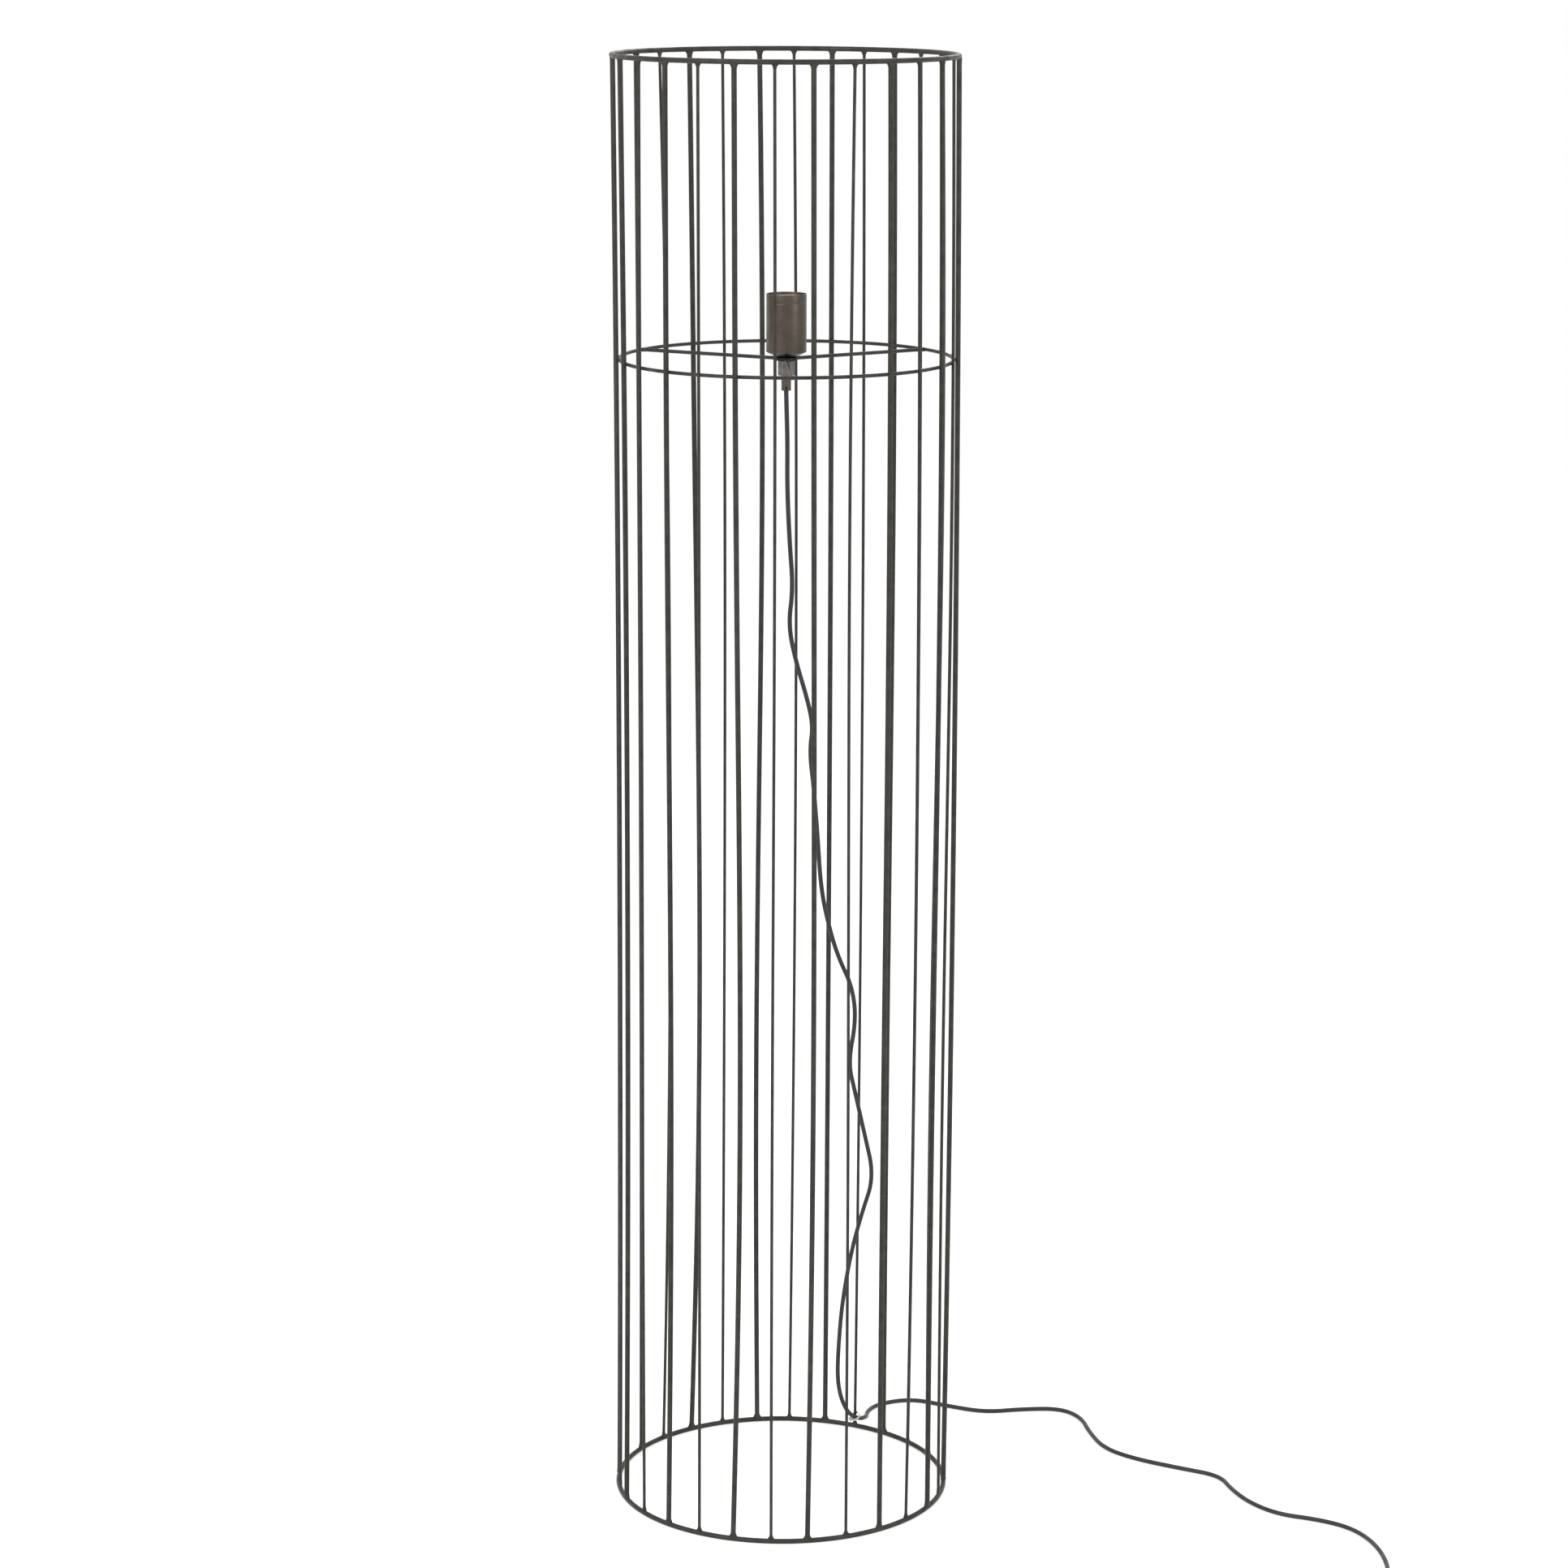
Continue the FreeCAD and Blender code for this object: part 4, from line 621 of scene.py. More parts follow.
def carved(blank, cutters, name, sharp=35):
    """Mesh piece of closed shapes with others cut out of them."""
    kept = blank.piece(name + "_blank")
    tools = []
    for number, cutter in enumerate(cutters):
        tool = cutter.piece("%s_cutter_%d" % (name, number))
        cut = kept.modifiers.new(tool.name, "BOOLEAN")
        cut.operation = "DIFFERENCE"
        cut.solver = "EXACT"
        cut.object = tool
        tools.append(tool)
    bpy.context.view_layer.update()
    mesh = bpy.data.meshes.new_from_object(kept.evaluated_get(bpy.context.evaluated_depsgraph_get()))
    mesh.name = name
    for item in [kept] + tools:
        bpy.data.objects.remove(item)
    return smoothed(name, mesh, sharp)


def only(draw, *rest):
    """New set of shapes with one thing drawn in it."""
    shapes = Shapes()
    draw(shapes, *rest)
    return shapes


# ---------- seat, cup, nut and cord grip

SPOKE_ANGLES = (272, 32, 152)
SPOKE_RADIUS, SPOKE_FLARE = 1.75 * MM, 1.1 * MM
NEAR_WELD = [0, 0.6, 1.1, 1.7, 2.4, 3.4, 5]  # mm from a spoke's end
SPOKE_SPANS = 8
WASHER_RADIUS = (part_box("hub_washer")[1].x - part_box("hub_washer")[0].x) / 2
CUP_RADIUS = (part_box("socket_cup")[1].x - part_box("socket_cup")[0].x) / 2
CUP_RIM = top_of("socket_cup")
NUT_LOW = foot_of("hub_nut")
GRIP_LOW = foot_of("cord_grip")
GRIP_RADIUS, GRIP_NECK = 4.65 * MM, 4.9 * MM
GRIP_SCREW = GRIP_LOW + 7.92 * MM
TUBE_HOLE = 5 * MM
CORD_HOLE = 2.3 * MM


def add_spokes():
    """Three rods that run into a small weld at the washer and at the seat hoop."""
    low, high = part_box("seat_hoop")
    start = WASHER_RADIUS - 0.6 * MM
    end = (high.x - low.x) / 2 - (high.z - low.z) + 0.5 * MM
    places = [(start + step * MM, step) for step in NEAR_WELD]
    places += [(start + (end - start) * step / SPOKE_SPANS, math.inf) for step in range(1, SPOKE_SPANS)]
    places += [(end - step * MM, step) for step in reversed(NEAR_WELD)]
    shapes = Shapes()
    for number, degrees in enumerate(SPOKE_ANGLES):
        outward = Vector((math.cos(math.radians(degrees)), math.sin(math.radians(degrees)), 0))
        aside = UP.cross(outward)
        rings = []
        for distance, step in places:
            flare = SPOKE_FLARE * max(1 - step / 4.2, 0) ** 1.7
            flare *= 1 + 0.25 * noise.noise(Vector((number * 5.1, distance * 90, 0)))
            centre = Vector((AXIS.x, AXIS.y, SEAT)) + outward * distance
            rings.append(ellipse(centre, aside, UP, SPOKE_RADIUS + flare, SPOKE_RADIUS + flare * 0.35, 20))
        shapes.loft(rings)
    dressed(shapes.piece("spoke_arms", 50), "bare_wire", ["spokes"])


def add_washer():
    corners = [(TUBE_HOLE, WASHER_LOW), (WASHER_RADIUS, WASHER_LOW), (WASHER_RADIUS, WASHER_HIGH),
               (TUBE_HOLE, WASHER_HIGH)]
    shapes = Shapes()
    turned(shapes, eased(corners, [0.35 * MM] * 4, [3] * 4), AXIS, 72)
    # The washer lies wholly below the shoulder, so it is painted in the near-black shade all over.
    dressed(shapes.piece("hub_disc"), "dark_fittings", ["hub_washer"], look=SHADED_CUP_STEEL)


def add_cup():
    """Spun cup: a cone below its shoulder, one groove near the rim and a rolled rim."""
    wall = 0.8 * MM
    groove = WASHER_HIGH + 51.9 * MM
    corners = [((TUBE_HOLE, WASHER_HIGH), 0.1), ((9 * MM, WASHER_HIGH), 1.2), ((CUP_RADIUS, SHOULDER), 0.8),
               ((CUP_RADIUS, groove - 0.6 * MM), 0.3), ((CUP_RADIUS - 0.3 * MM, groove), 0.3),
               ((CUP_RADIUS, groove + 0.6 * MM), 0.3), ((CUP_RADIUS, CUP_RIM), 0.34),
               ((CUP_RADIUS - wall, CUP_RIM), 0.34), ((CUP_RADIUS - wall, SHOULDER + wall / 2), 0.7),
               ((9 * MM - wall / 4, WASHER_HIGH + wall), 1), ((TUBE_HOLE, WASHER_HIGH + wall), 0.1)]
    steps = [5 if ease > 0.6 else 3 for _, ease in corners]
    profile = eased([corner for corner, _ in corners], [ease * MM for _, ease in corners], steps)
    shapes = Shapes()
    turned(shapes, profile, AXIS, 128)
    # Below the shoulder the cup's cone is painted in near-black shade.
    dressed(shapes.piece("holder_cup", 40), "dark_fittings", ["socket_cup"], look=SHADED_CUP_STEEL)


def add_thread_shell():
    """Rolled thread in thin sheet, open to its foot flange, with its strap on the left."""
    strap_length = 5.3 * MM
    floor = foot_of("thread_shell") + strap_length
    flange, neck = 9.3 * MM, 12 * MM
    low, high = floor + 6 * MM, top_of("thread_shell")
    skin, middle_radius, pitch, depth = 0.4 * MM, 12.95 * MM, 3.62 * MM, 0.42 * MM
    rows = 88
    levels = [low + (high - low) * step / rows for step in range(rows + 1)]
    outline = [(flange, floor), (neck + skin, floor), (neck + skin, low - skin)]
    outline += [(middle_radius + skin, level) for level in levels]
    outline += [(middle_radius, level) for level in reversed(levels)]
    outline += [(neck, low), (neck, floor + skin), (flange, floor + skin)]

    def wave(angle, radius, height):
        if radius < middle_radius - 0.01 * MM:
            return 0
        fade = min(max((height - low) / pitch, 0), max((high - height) / pitch, 0), 1)
        ridge = math.cos(2 * math.pi * height / pitch - angle)
        flare = 0.35 * MM * max(1 - (high - height) / (1.2 * MM), 0)
        return depth * fade * max(min(1.5 * ridge, 1), -1) + flare

    shapes = Shapes()
    turned(shapes, outline, AXIS, 96, wave)
    strap_halves = (0.25 * MM, 2 * MM, 2.7 * MM)
    strap = Vector((AXIS.x - 10.05 * MM, AXIS.y, floor - 2.6 * MM))
    block(shapes, strap, (RIGHT, BACK, UP), strap_halves, 0.1 * MM, (0.2 * MM, 0))
    dressed(shapes.piece("shell_rolled", 30), "contact_brass", ["thread_shell"])


def add_nut():
    """Tall hexagon nut whose ends are turned down to a cone."""
    flat, corner, cone, slope = 7 * MM, 7.94 * MM, 7.15 * MM, 1.6
    mouth, mouth_depth = 5.6 * MM, 0.5 * MM

    def hexagon(angle, radius, height):
        if radius < flat:
            return 0
        side = (angle + math.pi / 6) % (math.pi / 3) - math.pi / 6
        across = min(flat / math.cos(math.pi / 6 - abs(side)), corner)
        end = min(height - NUT_LOW, WASHER_LOW - height)
        return min(across, cone + max(end, 0) * slope) - radius

    ends = [0, 0.12, 0.25, 0.38, 0.52]
    outline = [(TUBE_HOLE, NUT_LOW + mouth_depth), (mouth, NUT_LOW)]
    outline += [(flat, NUT_LOW + end * MM) for end in ends]
    outline += [(flat, WASHER_LOW - end * MM) for end in reversed(ends)]
    outline += [(mouth, WASHER_LOW), (TUBE_HOLE, WASHER_LOW - mouth_depth)]
    shapes = Shapes()
    turned(shapes, outline, AXIS, 144, hexagon)
    dressed(shapes.piece("nut_hexagon", 28), "dark_fittings", ["hub_nut"], look=WORN_STEEL)


def add_grip():
    """Cord grip split into two prongs, and its slotted screw at the back."""
    top = top_of("cord_grip")
    corners = [(CORD_HOLE, GRIP_LOW), (GRIP_RADIUS, GRIP_LOW), (GRIP_RADIUS, NUT_LOW), (GRIP_NECK, NUT_LOW),
               (GRIP_NECK, top), (CORD_HOLE, top)]
    shapes = Shapes()
    turned(shapes, eased(corners, [0.6 * MM] * 6, [4] * 6), AXIS, 64)
    slit = Vector((AXIS.x, AXIS.y, GRIP_LOW))
    hole = Vector((AXIS.x, AXIS.y, GRIP_SCREW))
    cutters = [only(block, slit, (RIGHT, BACK, UP), (0.8 * MM, 8 * MM, 4.5 * MM), 0.05 * MM, (0, 0.6 * MM)),
               only(spun, [(0, 1.25 * MM), (9 * MM, 1.25 * MM)], hole, BACK)]
    dressed(carved(shapes, cutters, "grip_barrel"), "dark_fittings", ["cord_grip"])
    screw = only(spun, [(2.25 * MM, 1.2 * MM), (4.6 * MM, 1.2 * MM), (4.65 * MM, 1.7 * MM),
                        (4.8 * MM, 1.88 * MM), (6.0 * MM, 1.88 * MM), (6.3 * MM, 1.75 * MM),
                        (6.42 * MM, 1.4 * MM)], hole, BACK)
    slot = only(block, hole + BACK * 6.5 * MM, (RIGHT, UP, BACK), (3 * MM, 0.3 * MM, 0.8 * MM), 0.05 * MM,
                (0, 0))
    dressed(carved(screw, [slot], "grip_fastener", 30), "plated_steel", ["grip_screw"])


add_spokes()
add_washer()
add_cup()
add_thread_shell()
add_nut()
add_grip()

# ---------- the nylon ties

TIE_WIDTH, TIE_THICKNESS, TIE_PLAY = 2.4 * MM, 0.8 * MM, 0.3 * MM
TIE_HEAD, HEAD_DEPTH = 4.08 * MM, 3.26 * MM
TIED_WIRE = "upright_05"


def add_foot_tie():
    """Tie round the cord and the foot of one thin upright, with its head on the near side."""
    first, second = Vector(FOOT_ROUTE[0]), Vector(FOOT_ROUTE[1])
    cord_middle = (first + second) / 2
    heading = (second - first).normalized()
    lines, wire = upright_line(TIED_WIRE)
    wire_middle = at_height(lines, cord_middle.z)
    toward = (cord_middle - wire_middle).normalized()
    normal = (heading - UP).normalized()
    normal = (normal - toward * normal.dot(toward)).normalized()
    aside = normal.cross(toward).normalized()
    lean = abs(normal.dot(UP))
    slip = TIE_WIDTH / 2 * math.tan(math.acos(lean))
    wire_room = wire / lean + slip + TIE_PLAY
    cord_room = CORD_RADIUS / abs(normal.dot(heading)) + slip + TIE_PLAY
    distance = (cord_middle - wire_middle).length
    shapes = Shapes()
    band(shapes, [(0, 0, wire_room), (distance, 0, cord_room)], wire_middle, toward, aside, TIE_WIDTH,
         TIE_THICKNESS)
    head = wire_middle + toward * (distance / 2)
    head += aside * ((wire_room + cord_room) / 2 + TIE_THICKNESS / 2 + TIE_HEAD / 2)
    halves = (TIE_HEAD / 2, HEAD_DEPTH / 2, TIE_HEAD / 2)
    block(shapes, head, (toward, normal, aside), halves, 0.5 * MM, (0, 0.5 * MM))
    tail = head + toward * (TIE_HEAD / 2 + 1.1 * MM) - aside * (TIE_HEAD * 0.14)
    block(shapes, tail, (aside, normal, toward), (TIE_THICKNESS / 2, TIE_WIDTH / 2, 1.6 * MM), 0.2 * MM,
          (0, 0.15 * MM))
    dressed(shapes.piece("foot_strap"), "clear_nylon", ["cable_tie"])


def add_coil_tie():
    """Tie round the coil's strands, opposite its loose ends."""
    strands = [coil_point(0.5 + index) - COIL_MIDDLE for index in range(2 * COIL_TURNS)]
    near, far = min(-strand.y for strand in strands), max(-strand.y for strand in strands)
    low, high = min(strand.z for strand in strands), max(strand.z for strand in strands)
    room = CORD_RADIUS + TIE_PLAY
    circles = [(near, low, room), (far, low, room), (far, high, room), (near, high, room)]
    shapes = Shapes()
    band(shapes, circles, COIL_MIDDLE, -BACK, UP, TIE_WIDTH, TIE_THICKNESS)
    head = COIL_MIDDLE - BACK * (far + room + TIE_THICKNESS + HEAD_DEPTH / 2) + UP * ((low + high) / 2)
    block(shapes, head, (RIGHT, UP, -BACK), (TIE_HEAD / 2, TIE_HEAD / 2, HEAD_DEPTH / 2), 0.5 * MM,
          (0, 0.5 * MM))
    tail = head + UP * (TIE_HEAD / 2 + 0.9 * MM)
    block(shapes, tail, (BACK, RIGHT, UP), (TIE_THICKNESS / 2, TIE_WIDTH / 2, 1.2 * MM), 0.2 * MM,
          (0, 0.15 * MM))
    dressed(shapes.piece("coil_strap"), "clear_nylon", ["coil_tie"])


add_foot_tie()
add_coil_tie()

# ---------- the in-line switch

SWITCH_LOW, SWITCH_HIGH = foot_of("switch_lower_shell"), top_of("switch_upper_shell")
SWITCH_SPLIT = top_of("switch_lower_shell")
HALF_LENGTH, HALF_WIDTH, SWITCH_CORNER = 29 * MM, 10 * MM, 7 * MM
PASSAGE, ROCKER_GAP = 2.35 * MM, 0.3 * MM
ROCKER_RADIUS, ROCKER_HALF, ROCKER_TILT = 13 * MM, 4.2 * MM, 7
VALLEY, ROCKER_FOOT, ROCKER_EDGE = 10.3 * MM, 5.5 * MM, 0.45 * MM
TOP_SLOPE = math.tan(math.radians(7))
TOP_REACH = max(np.roots([1 + TOP_SLOPE ** 2, 2 * VALLEY * TOP_SLOPE, VALLEY ** 2 - ROCKER_RADIUS ** 2]))
MARK_REACH, MARK_ROOT, MARK_LIFT = 4.6 * MM, -0.1 * MM, 0.07 * MM


def switch_blank(low, high, edges):
    centre = Vector((SWITCH.x, SWITCH.y, (low + high) / 2))
    return only(block, centre, (RIGHT, BACK, UP), (HALF_LENGTH, HALF_WIDTH, (high - low) / 2), SWITCH_CORNER,
                edges)


def cord_passage():
    start = Vector((SWITCH.x - 40 * MM, SWITCH.y, SWITCH_SPLIT))
    return only(spun, [(0, PASSAGE), (80 * MM, PASSAGE)], start, RIGHT, 24)


def screw_spot(side, level):
    return Vector((SWITCH.x + side * 18 * MM, SWITCH.y + side * 5.8 * MM, level))


def add_switch_shells():
    """Housing in two halves with a fine joint, a window round the rocker and sunk screws below."""
    well = Vector((SWITCH.x, SWITCH.y, SWITCH_SPLIT))
    hollow = only(block, well, (RIGHT, BACK, UP), (13.6 * MM, 4.6 * MM, 6.4 * MM), 0.5 * MM, (0, 0))
    cutters = [hollow, cord_passage()]
    for side in (1, -1):
        foot = screw_spot(side, SWITCH_LOW - 1 * MM)
        cutters.append(only(spun, [(0, 2.3 * MM), (2.8 * MM, 2.3 * MM)], foot, UP, 32))
    lower = carved(switch_blank(SWITCH_LOW, SWITCH_SPLIT, (1.5 * MM, 0.25 * MM)), cutters, "housing_lower")
    dressed(lower, "black_plastic", ["switch_lower_shell"])

    window, half = ROCKER_RADIUS + ROCKER_GAP, ROCKER_HALF + ROCKER_GAP
    opening = math.sqrt(window ** 2 - (SWITCH_HIGH - SWITCH.z) ** 2)
    rim = Vector((SWITCH.x, SWITCH.y, SWITCH_HIGH))
    flare = Shapes()
    rings = []
    for level, wider in ((-0.5, 0), (0.02, 0.5)):
        rings.append([rim + RIGHT * x + BACK * y + UP * (level * MM) for x, y in
                      rounded_rectangle(opening + wider * MM, half + wider * MM, 0.6 * MM, 4)])
    flare.loft(rings)
    drum = only(spun, [(0, window), (2 * half, window)], SWITCH - BACK * half, BACK, 96)
    upper = carved(switch_blank(SWITCH_SPLIT, SWITCH_HIGH, (0.25 * MM, 1.5 * MM)),
                   [drum, flare, cord_passage()], "housing_upper")
    dressed(upper, "black_plastic", ["switch_upper_shell"])


def rocker_outline():
    """Rocker seen from the side: an arc at each end, a hollow top, a web down to the hub."""
    foot_reach = math.sqrt(ROCKER_RADIUS ** 2 - ROCKER_FOOT ** 2)
    hub, web = 2.6 * MM, 1.8 * MM
    first = math.atan2(ROCKER_FOOT, foot_reach)
    last = math.atan2(VALLEY + TOP_REACH * TOP_SLOPE, TOP_REACH)
    points = []
    for step in range(9):
        angle = first + (last - first) * step / 8
        points.append((ROCKER_RADIUS * math.cos(angle), ROCKER_RADIUS * math.sin(angle)))
    for step in range(1, 20):
        x = TOP_REACH * (1 - step / 10)
        points.append((x, VALLEY + TOP_SLOPE * x * x / TOP_REACH))
    points += [(-x, z) for x, z in reversed(points[:9])]
    points.append((-web, ROCKER_FOOT))
    edge = math.acos(web / hub)
    for step in range(17):
        angle = math.pi - edge + (math.pi + 2 * edge) * step / 16
        points.append((hub * math.cos(angle), hub * math.sin(angle)))
    points.append((web, ROCKER_FOOT))
    return [Vector(point) for point in points]


def inset(points, distance):
    """Anticlockwise outline drawn in by a distance."""
    drawn = []
    for index, spot in enumerate(points):
        before = (spot - points[index - 1]).normalized()
        after = (points[(index + 1) % len(points)] - spot).normalized()
        inward = Vector((-before.y - after.y, before.x + after.x)).normalized()
        share = max(inward.dot(Vector((-before.y, before.x))), 0.5)
        drawn.append(spot + inward * (distance / share))
    return drawn


def rocker_top(x):
    """A spot on the hollow top of the untilted rocker, with the directions along and off it."""
    lean = math.atan(2 * TOP_SLOPE * x / TOP_REACH)
    spot = Vector((x, 0, VALLEY + TOP_SLOPE * x ** 2 / TOP_REACH))
    return spot, Vector((math.cos(lean), 0, math.sin(lean))), Vector((-math.sin(lean), 0, math.cos(lean)))


def add_rocker():
    """Rocker with soft edges, and its two raised marks: a bar and a ring."""
    turn = Matrix.Translation(SWITCH) @ Matrix.Rotation(math.radians(ROCKER_TILT), 4, "Y")
    outline = rocker_outline()
    levels = [(reach - ROCKER_HALF, amount) for reach, amount in rounding(ROCKER_EDGE)]
    levels += [(ROCKER_HALF - reach, amount) for reach, amount in reversed(rounding(ROCKER_EDGE))]
    shapes = Shapes()
    shapes.loft([[turn @ Vector((spot.x, level, spot.y)) for spot in inset(outline, amount)]
                 for level, amount in levels])
    dressed(shapes.piece("rocker_cap", 32), "rocker_plastic", ["switch_rocker"], "rocker")

    marks = Shapes()
    centre, across, normal = rocker_top(MARK_REACH)
    bar = [centre + across * x + BACK * y for x, y in rounded_rectangle(0.22 * MM, 1.25 * MM, 0.2 * MM, 3)]
    marks.loft([[turn @ (spot + normal * lift) for spot in bar] for lift in (MARK_ROOT, MARK_LIFT)])
    centre, across, normal = rocker_top(-MARK_REACH)
    inner, outer = 1.0 * MM, 1.35 * MM
    section = [(inner, MARK_ROOT), (outer, MARK_ROOT), (outer, MARK_LIFT), (inner, MARK_LIFT)]
    rings = []
    for angle in circle_of(40):
        spoke = across * math.cos(angle) + BACK * math.sin(angle)
        rings.append([turn @ (centre + spoke * radius + normal * lift) for radius, lift in section])
    marks.loft(rings, closed=True)
    dressed(marks.piece("rocker_marks"), "rocker_plastic", body="rocker", look=MARK_PAINT)


def add_switch_screws():
    """Two cross-slotted screws sunk in the lower half."""
    shapes = Shapes()
    cutters = []
    for side in (1, -1):
        foot = screw_spot(side, SWITCH_LOW + 0.25 * MM)
        spun(shapes, [(0, 1.4 * MM), (0.15 * MM, 1.9 * MM), (0.5 * MM, 2.18 * MM), (1.5 * MM, 2.18 * MM),
                      (1.55 * MM, 1.2 * MM), (11.7 * MM, 1.2 * MM)], foot, UP, 32)
        for length, width in ((1.15, 0.22), (0.22, 1.15)):
            cutters.append(only(block, foot, (RIGHT, BACK, UP), (length * MM, width * MM, 0.7 * MM),
                                0.05 * MM, (0, 0)))
    dressed(carved(shapes, cutters, "housing_screws"), "plated_steel", ["switch_screws"])


def route_line(points):
    """Spots along a route's own curve, with no tube round it."""
    holder = bpy.data.objects.new("bare", routed("bare", points, 16))
    mesh = bpy.data.meshes.new_from_object(holder)
    spots = [Vector(vertex.co) for vertex in mesh.vertices]
    bpy.data.objects.remove(holder)
    return spots


BOOT_LENGTH, BOOT_WIDE, BOOT_NARROW = 21 * MM, 3.5 * MM, 2.55 * MM
BOOT_RIB, RIB_STRETCH = 0.35 * MM, 1.15 * MM
BOOT_GAP, BOOT_SUNK = 0.25 * MM, 1 * MM


def boot(shapes, spots):
    """Ribbed sleeve that tapers along the first stretch of a line."""
    travelled = 0.0
    rings = []
    last = spots[0]
    for before, spot, after in zip([spots[0]] + spots, spots, spots[1:]):
        travelled += (spot - last).length
        last = spot
        if travelled > BOOT_LENGTH:
            break
        share = travelled / BOOT_LENGTH
        heading = (after - before).normalized()
        aside = heading.cross(UP).normalized()
        above = aside.cross(heading)
        rib = BOOT_RIB * max(math.sin(travelled / RIB_STRETCH), 0) if 0.12 < share < 0.85 else 0
        radius = BOOT_WIDE + (BOOT_NARROW - BOOT_WIDE) * share - rib
        rings.append(ellipse(spot, aside, above, radius, radius, 24))
    shapes.loft(rings)


def dense(spots, gap):
    """The same line with spots an even gap apart."""
    even = [spots[0]]
    left = gap
    for before, spot in zip(spots, spots[1:]):
        run = (spot - before).length
        while left <= run and run > 0:
            even.append(before.lerp(spot, left / run))
            left += gap
        left -= run
    return even


def add_boots():
    """Strain relief on the cord at both ends of the switch."""
    shapes = Shapes()
    for points in (list(reversed(FLOOR_ROUTE + INTO_SWITCH)), FROM_SWITCH):
        spots = dense(route_line(points), BOOT_GAP)
        boot(shapes, [spot for spot in spots if abs(spot.x - SWITCH.x) > HALF_LENGTH - BOOT_SUNK])
    dressed(shapes.piece("switch_boots", 50), "black_plastic")


add_switch_shells()
add_rocker()
add_switch_screws()
add_boots()

# ---------- the plug

PIN_OFFSET = 9.3 * MM
GROOVES, GROOVE_PITCH = 5, 3.4
RELIEF_STEPS, RELIEF_LENGTH = 44, 22.5


def plug_stations():
    """Sections of the plug in mm: distance from the cord's entry, half width, half height, corner."""
    stations = [(20.6, 4.7, 4.7, 4.6), (21.2, 5.9, 5.3, 4.6), (22.0, 6.9, 6.0, 4.4), (23.2, 7.7, 6.6, 4.2),
                (24.6, 8.6, 6.85, 4.2), (27, 10.4, 6.85, 4.2), (29.4, 12, 6.85, 4.2), (31, 12.7, 6.85, 4.2),
                (33, 13, 6.85, 4.2)]
    for groove in range(GROOVES):
        for along, half_width in ((0, 13), (0.6, 12.55), (1.2, 12.4), (1.8, 12.55), (2.4, 13)):
            stations.append((36 + groove * GROOVE_PITCH + along, half_width, 6.85, 4.2))
    return stations + [(55.6, 13, 6.85, 4.2), (56.3, 12.9, 6.72, 4.1), (56.8, 12.6, 6.4, 3.9),
                       (57, 12.2, 6, 3.6)]


def relief_profile():
    """Ribbed sleeve in mm: distance from the cord's entry and radius."""
    profile = [(0, 2.4), (0.15, 2.8), (0.5, 3.1)]
    for step in range(1, RELIEF_STEPS + 1):
        distance = 0.5 + (RELIEF_LENGTH - 0.5) * step / RELIEF_STEPS
        ridge = 0.55 * max(math.sin(2 * math.pi * (distance - 2) / 4.4), 0) ** 0.6 if distance < 19.6 else 0
        profile.append((distance, 3.1 + 1.5 * distance / RELIEF_LENGTH - ridge))
    return profile


def add_plug():
    """Flat moulded plug with finger grooves, its ribbed relief, and pins with half sleeves."""
    low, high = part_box("plug_body")
    entry = Vector((high.x, (low.y + high.y) / 2, (low.z + high.z) / 2))
    tall = (high.z - low.z) / 2
    shapes = Shapes()
    rings = []
    for distance, half_width, half_height, corner in plug_stations():
        outline = rounded_rectangle(half_width * MM, min(half_height * MM, tall), corner * MM, 8)
        rings.append([entry - RIGHT * (distance * MM) + BACK * x + UP * y for x, y in outline])
    shapes.loft(rings)
    spun(shapes, [(distance * MM, radius * MM) for distance, radius in relief_profile()], entry, -RIGHT, 40)
    roots = [entry - RIGHT * (high.x - low.x) + BACK * (side * PIN_OFFSET) for side in (1, -1)]
    for root in roots:
        spun(shapes, [(-1 * MM, 2 * MM), (9.7 * MM, 2 * MM), (10 * MM, 1.8 * MM)], root, -RIGHT, 32)
    dressed(shapes.piece("plug_moulding", 38), "black_plastic", ["plug_body"])

    pins = Shapes()
    for root in roots:
        spun(pins, [(-9 * MM, 1.7 * MM), (9.4 * MM, 1.7 * MM), (9.5 * MM, 1.93 * MM), (17.6 * MM, 1.93 * MM),
                    (18.3 * MM, 1.75 * MM), (18.8 * MM, 1.4 * MM), (19 * MM, 0.9 * MM)], root, -RIGHT, 32)
    dressed(pins.piece("plug_prongs", 30), "plated_steel", ["plug_pins"])


add_plug()

# ---------- the CAD pieces


def dress_nodes():
    """Every CAD node that still shows gets the material of its slot in the record."""
    for row in frame["record"]["subparts"]:
        item = frame["nodes"][row["node"]]
        if item.hide_render:
            continue
        item.data.materials.clear()
        item.data.materials.append(MATERIALS[row["material_slot"]])


dress_nodes()

# ---------- floor and light

FLOOR_GLOW = 0.62  # brings the lit floor up to white
WORLD_LIGHT = 0.55
LAMPS = [  # name, place, target, size, watts
    ("key", (-2.2, -2.6, 2.6), (0, 0, 0.7), (1.6, 2.0), 50),
    ("fill", (2.6, -2.0, 1.9), (0, 0, 0.7), (1.2, 2.0), 22),
    ("back", (0.6, 2.8, 2.8), (0, 0, 0.8), (2.0, 1.2), 26)]


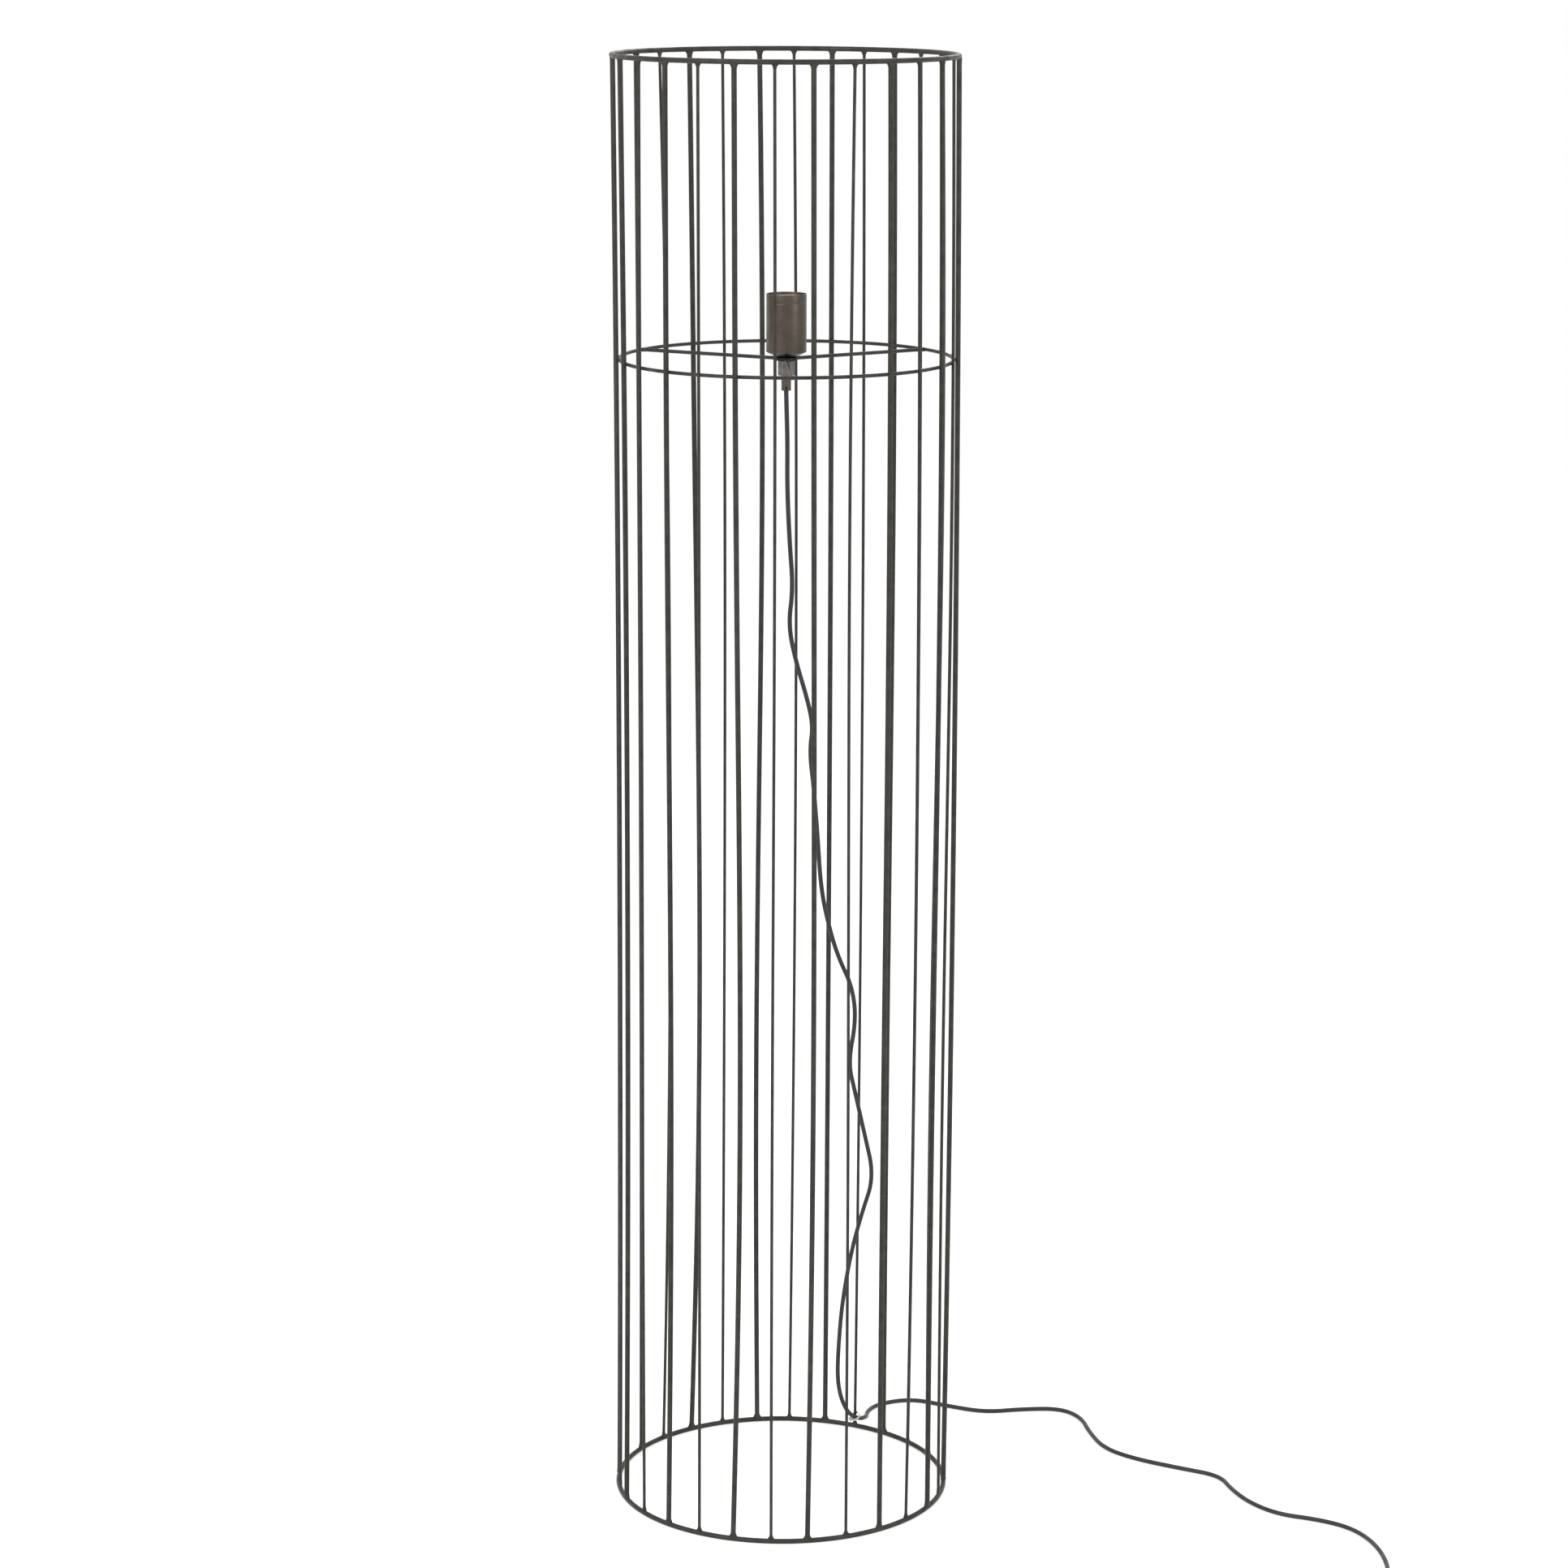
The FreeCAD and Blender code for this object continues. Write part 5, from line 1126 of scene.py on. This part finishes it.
def lit_as_white(tree, strength, other):
    """Strength for what the camera, gloss and glass see, and another for what lights the object."""
    path = tree.nodes.new("ShaderNodeLightPath")
    total = path.outputs["Is Camera Ray"]
    for output in ("Is Glossy Ray", "Is Transmission Ray"):
        add = tree.nodes.new("ShaderNodeMath")
        add.operation = "MAXIMUM"
        tree.links.new(total, add.inputs[0])
        tree.links.new(path.outputs[output], add.inputs[1])
        total = add.outputs["Value"]
    return mapped(tree, total, (0, 1), (other, strength))


def add_floor():
    """Plain pale floor that shows white and keeps the object's shadow."""
    half, steps = 6.0, 12
    level = -0.2 * MM
    spots = [2 * half * step / steps - half for step in range(steps + 1)]
    shapes = Shapes()
    shapes.points = [(x, y, level) for y in spots for x in spots]
    for row in range(steps):
        for column in range(steps):
            corner = row * (steps + 1) + column
            shapes.faces.append((corner, corner + 1, corner + steps + 2, corner + steps + 1))
    floor = shapes.piece("floor")
    material, tree, shader, spot = shader_of("pale floor", 0.9, specular=0.0)
    tones = [(0, (0.79, 0.79, 0.79)), (1, (0.81, 0.81, 0.81))]
    tree.links.new(ramp_of(tree, noise_of(tree, spot, 3), tones), shader.inputs["Base Color"])
    shader.inputs["Emission Color"].default_value = (1, 1, 1, 1)
    tree.links.new(lit_as_white(tree, FLOOR_GLOW, 0.0), shader.inputs["Emission Strength"])
    floor.data.materials.append(material)


def add_world():
    world = bpy.data.worlds.new("studio")
    bpy.context.scene.world = world
    world.use_nodes = True
    background = world.node_tree.nodes["Background"]
    background.inputs["Color"].default_value = (1, 1, 1, 1)
    strength = lit_as_white(world.node_tree, 1.0, WORLD_LIGHT)
    world.node_tree.links.new(strength, background.inputs["Strength"])


def add_lamp(name, place, target, size, power):
    data = bpy.data.lights.new(name, "AREA")
    data.shape = "RECTANGLE"
    data.size, data.size_y = size
    data.energy = power
    lamp = placed(name, data)
    lamp.location = place
    lamp.rotation_mode = "QUATERNION"
    lamp.rotation_quaternion = (Vector(target) - Vector(place)).to_track_quat("-Z", "Y")


add_floor()
add_world()
for lamp_row in LAMPS:
    add_lamp(*lamp_row)
bpy.context.scene.view_settings.view_transform = "Standard"
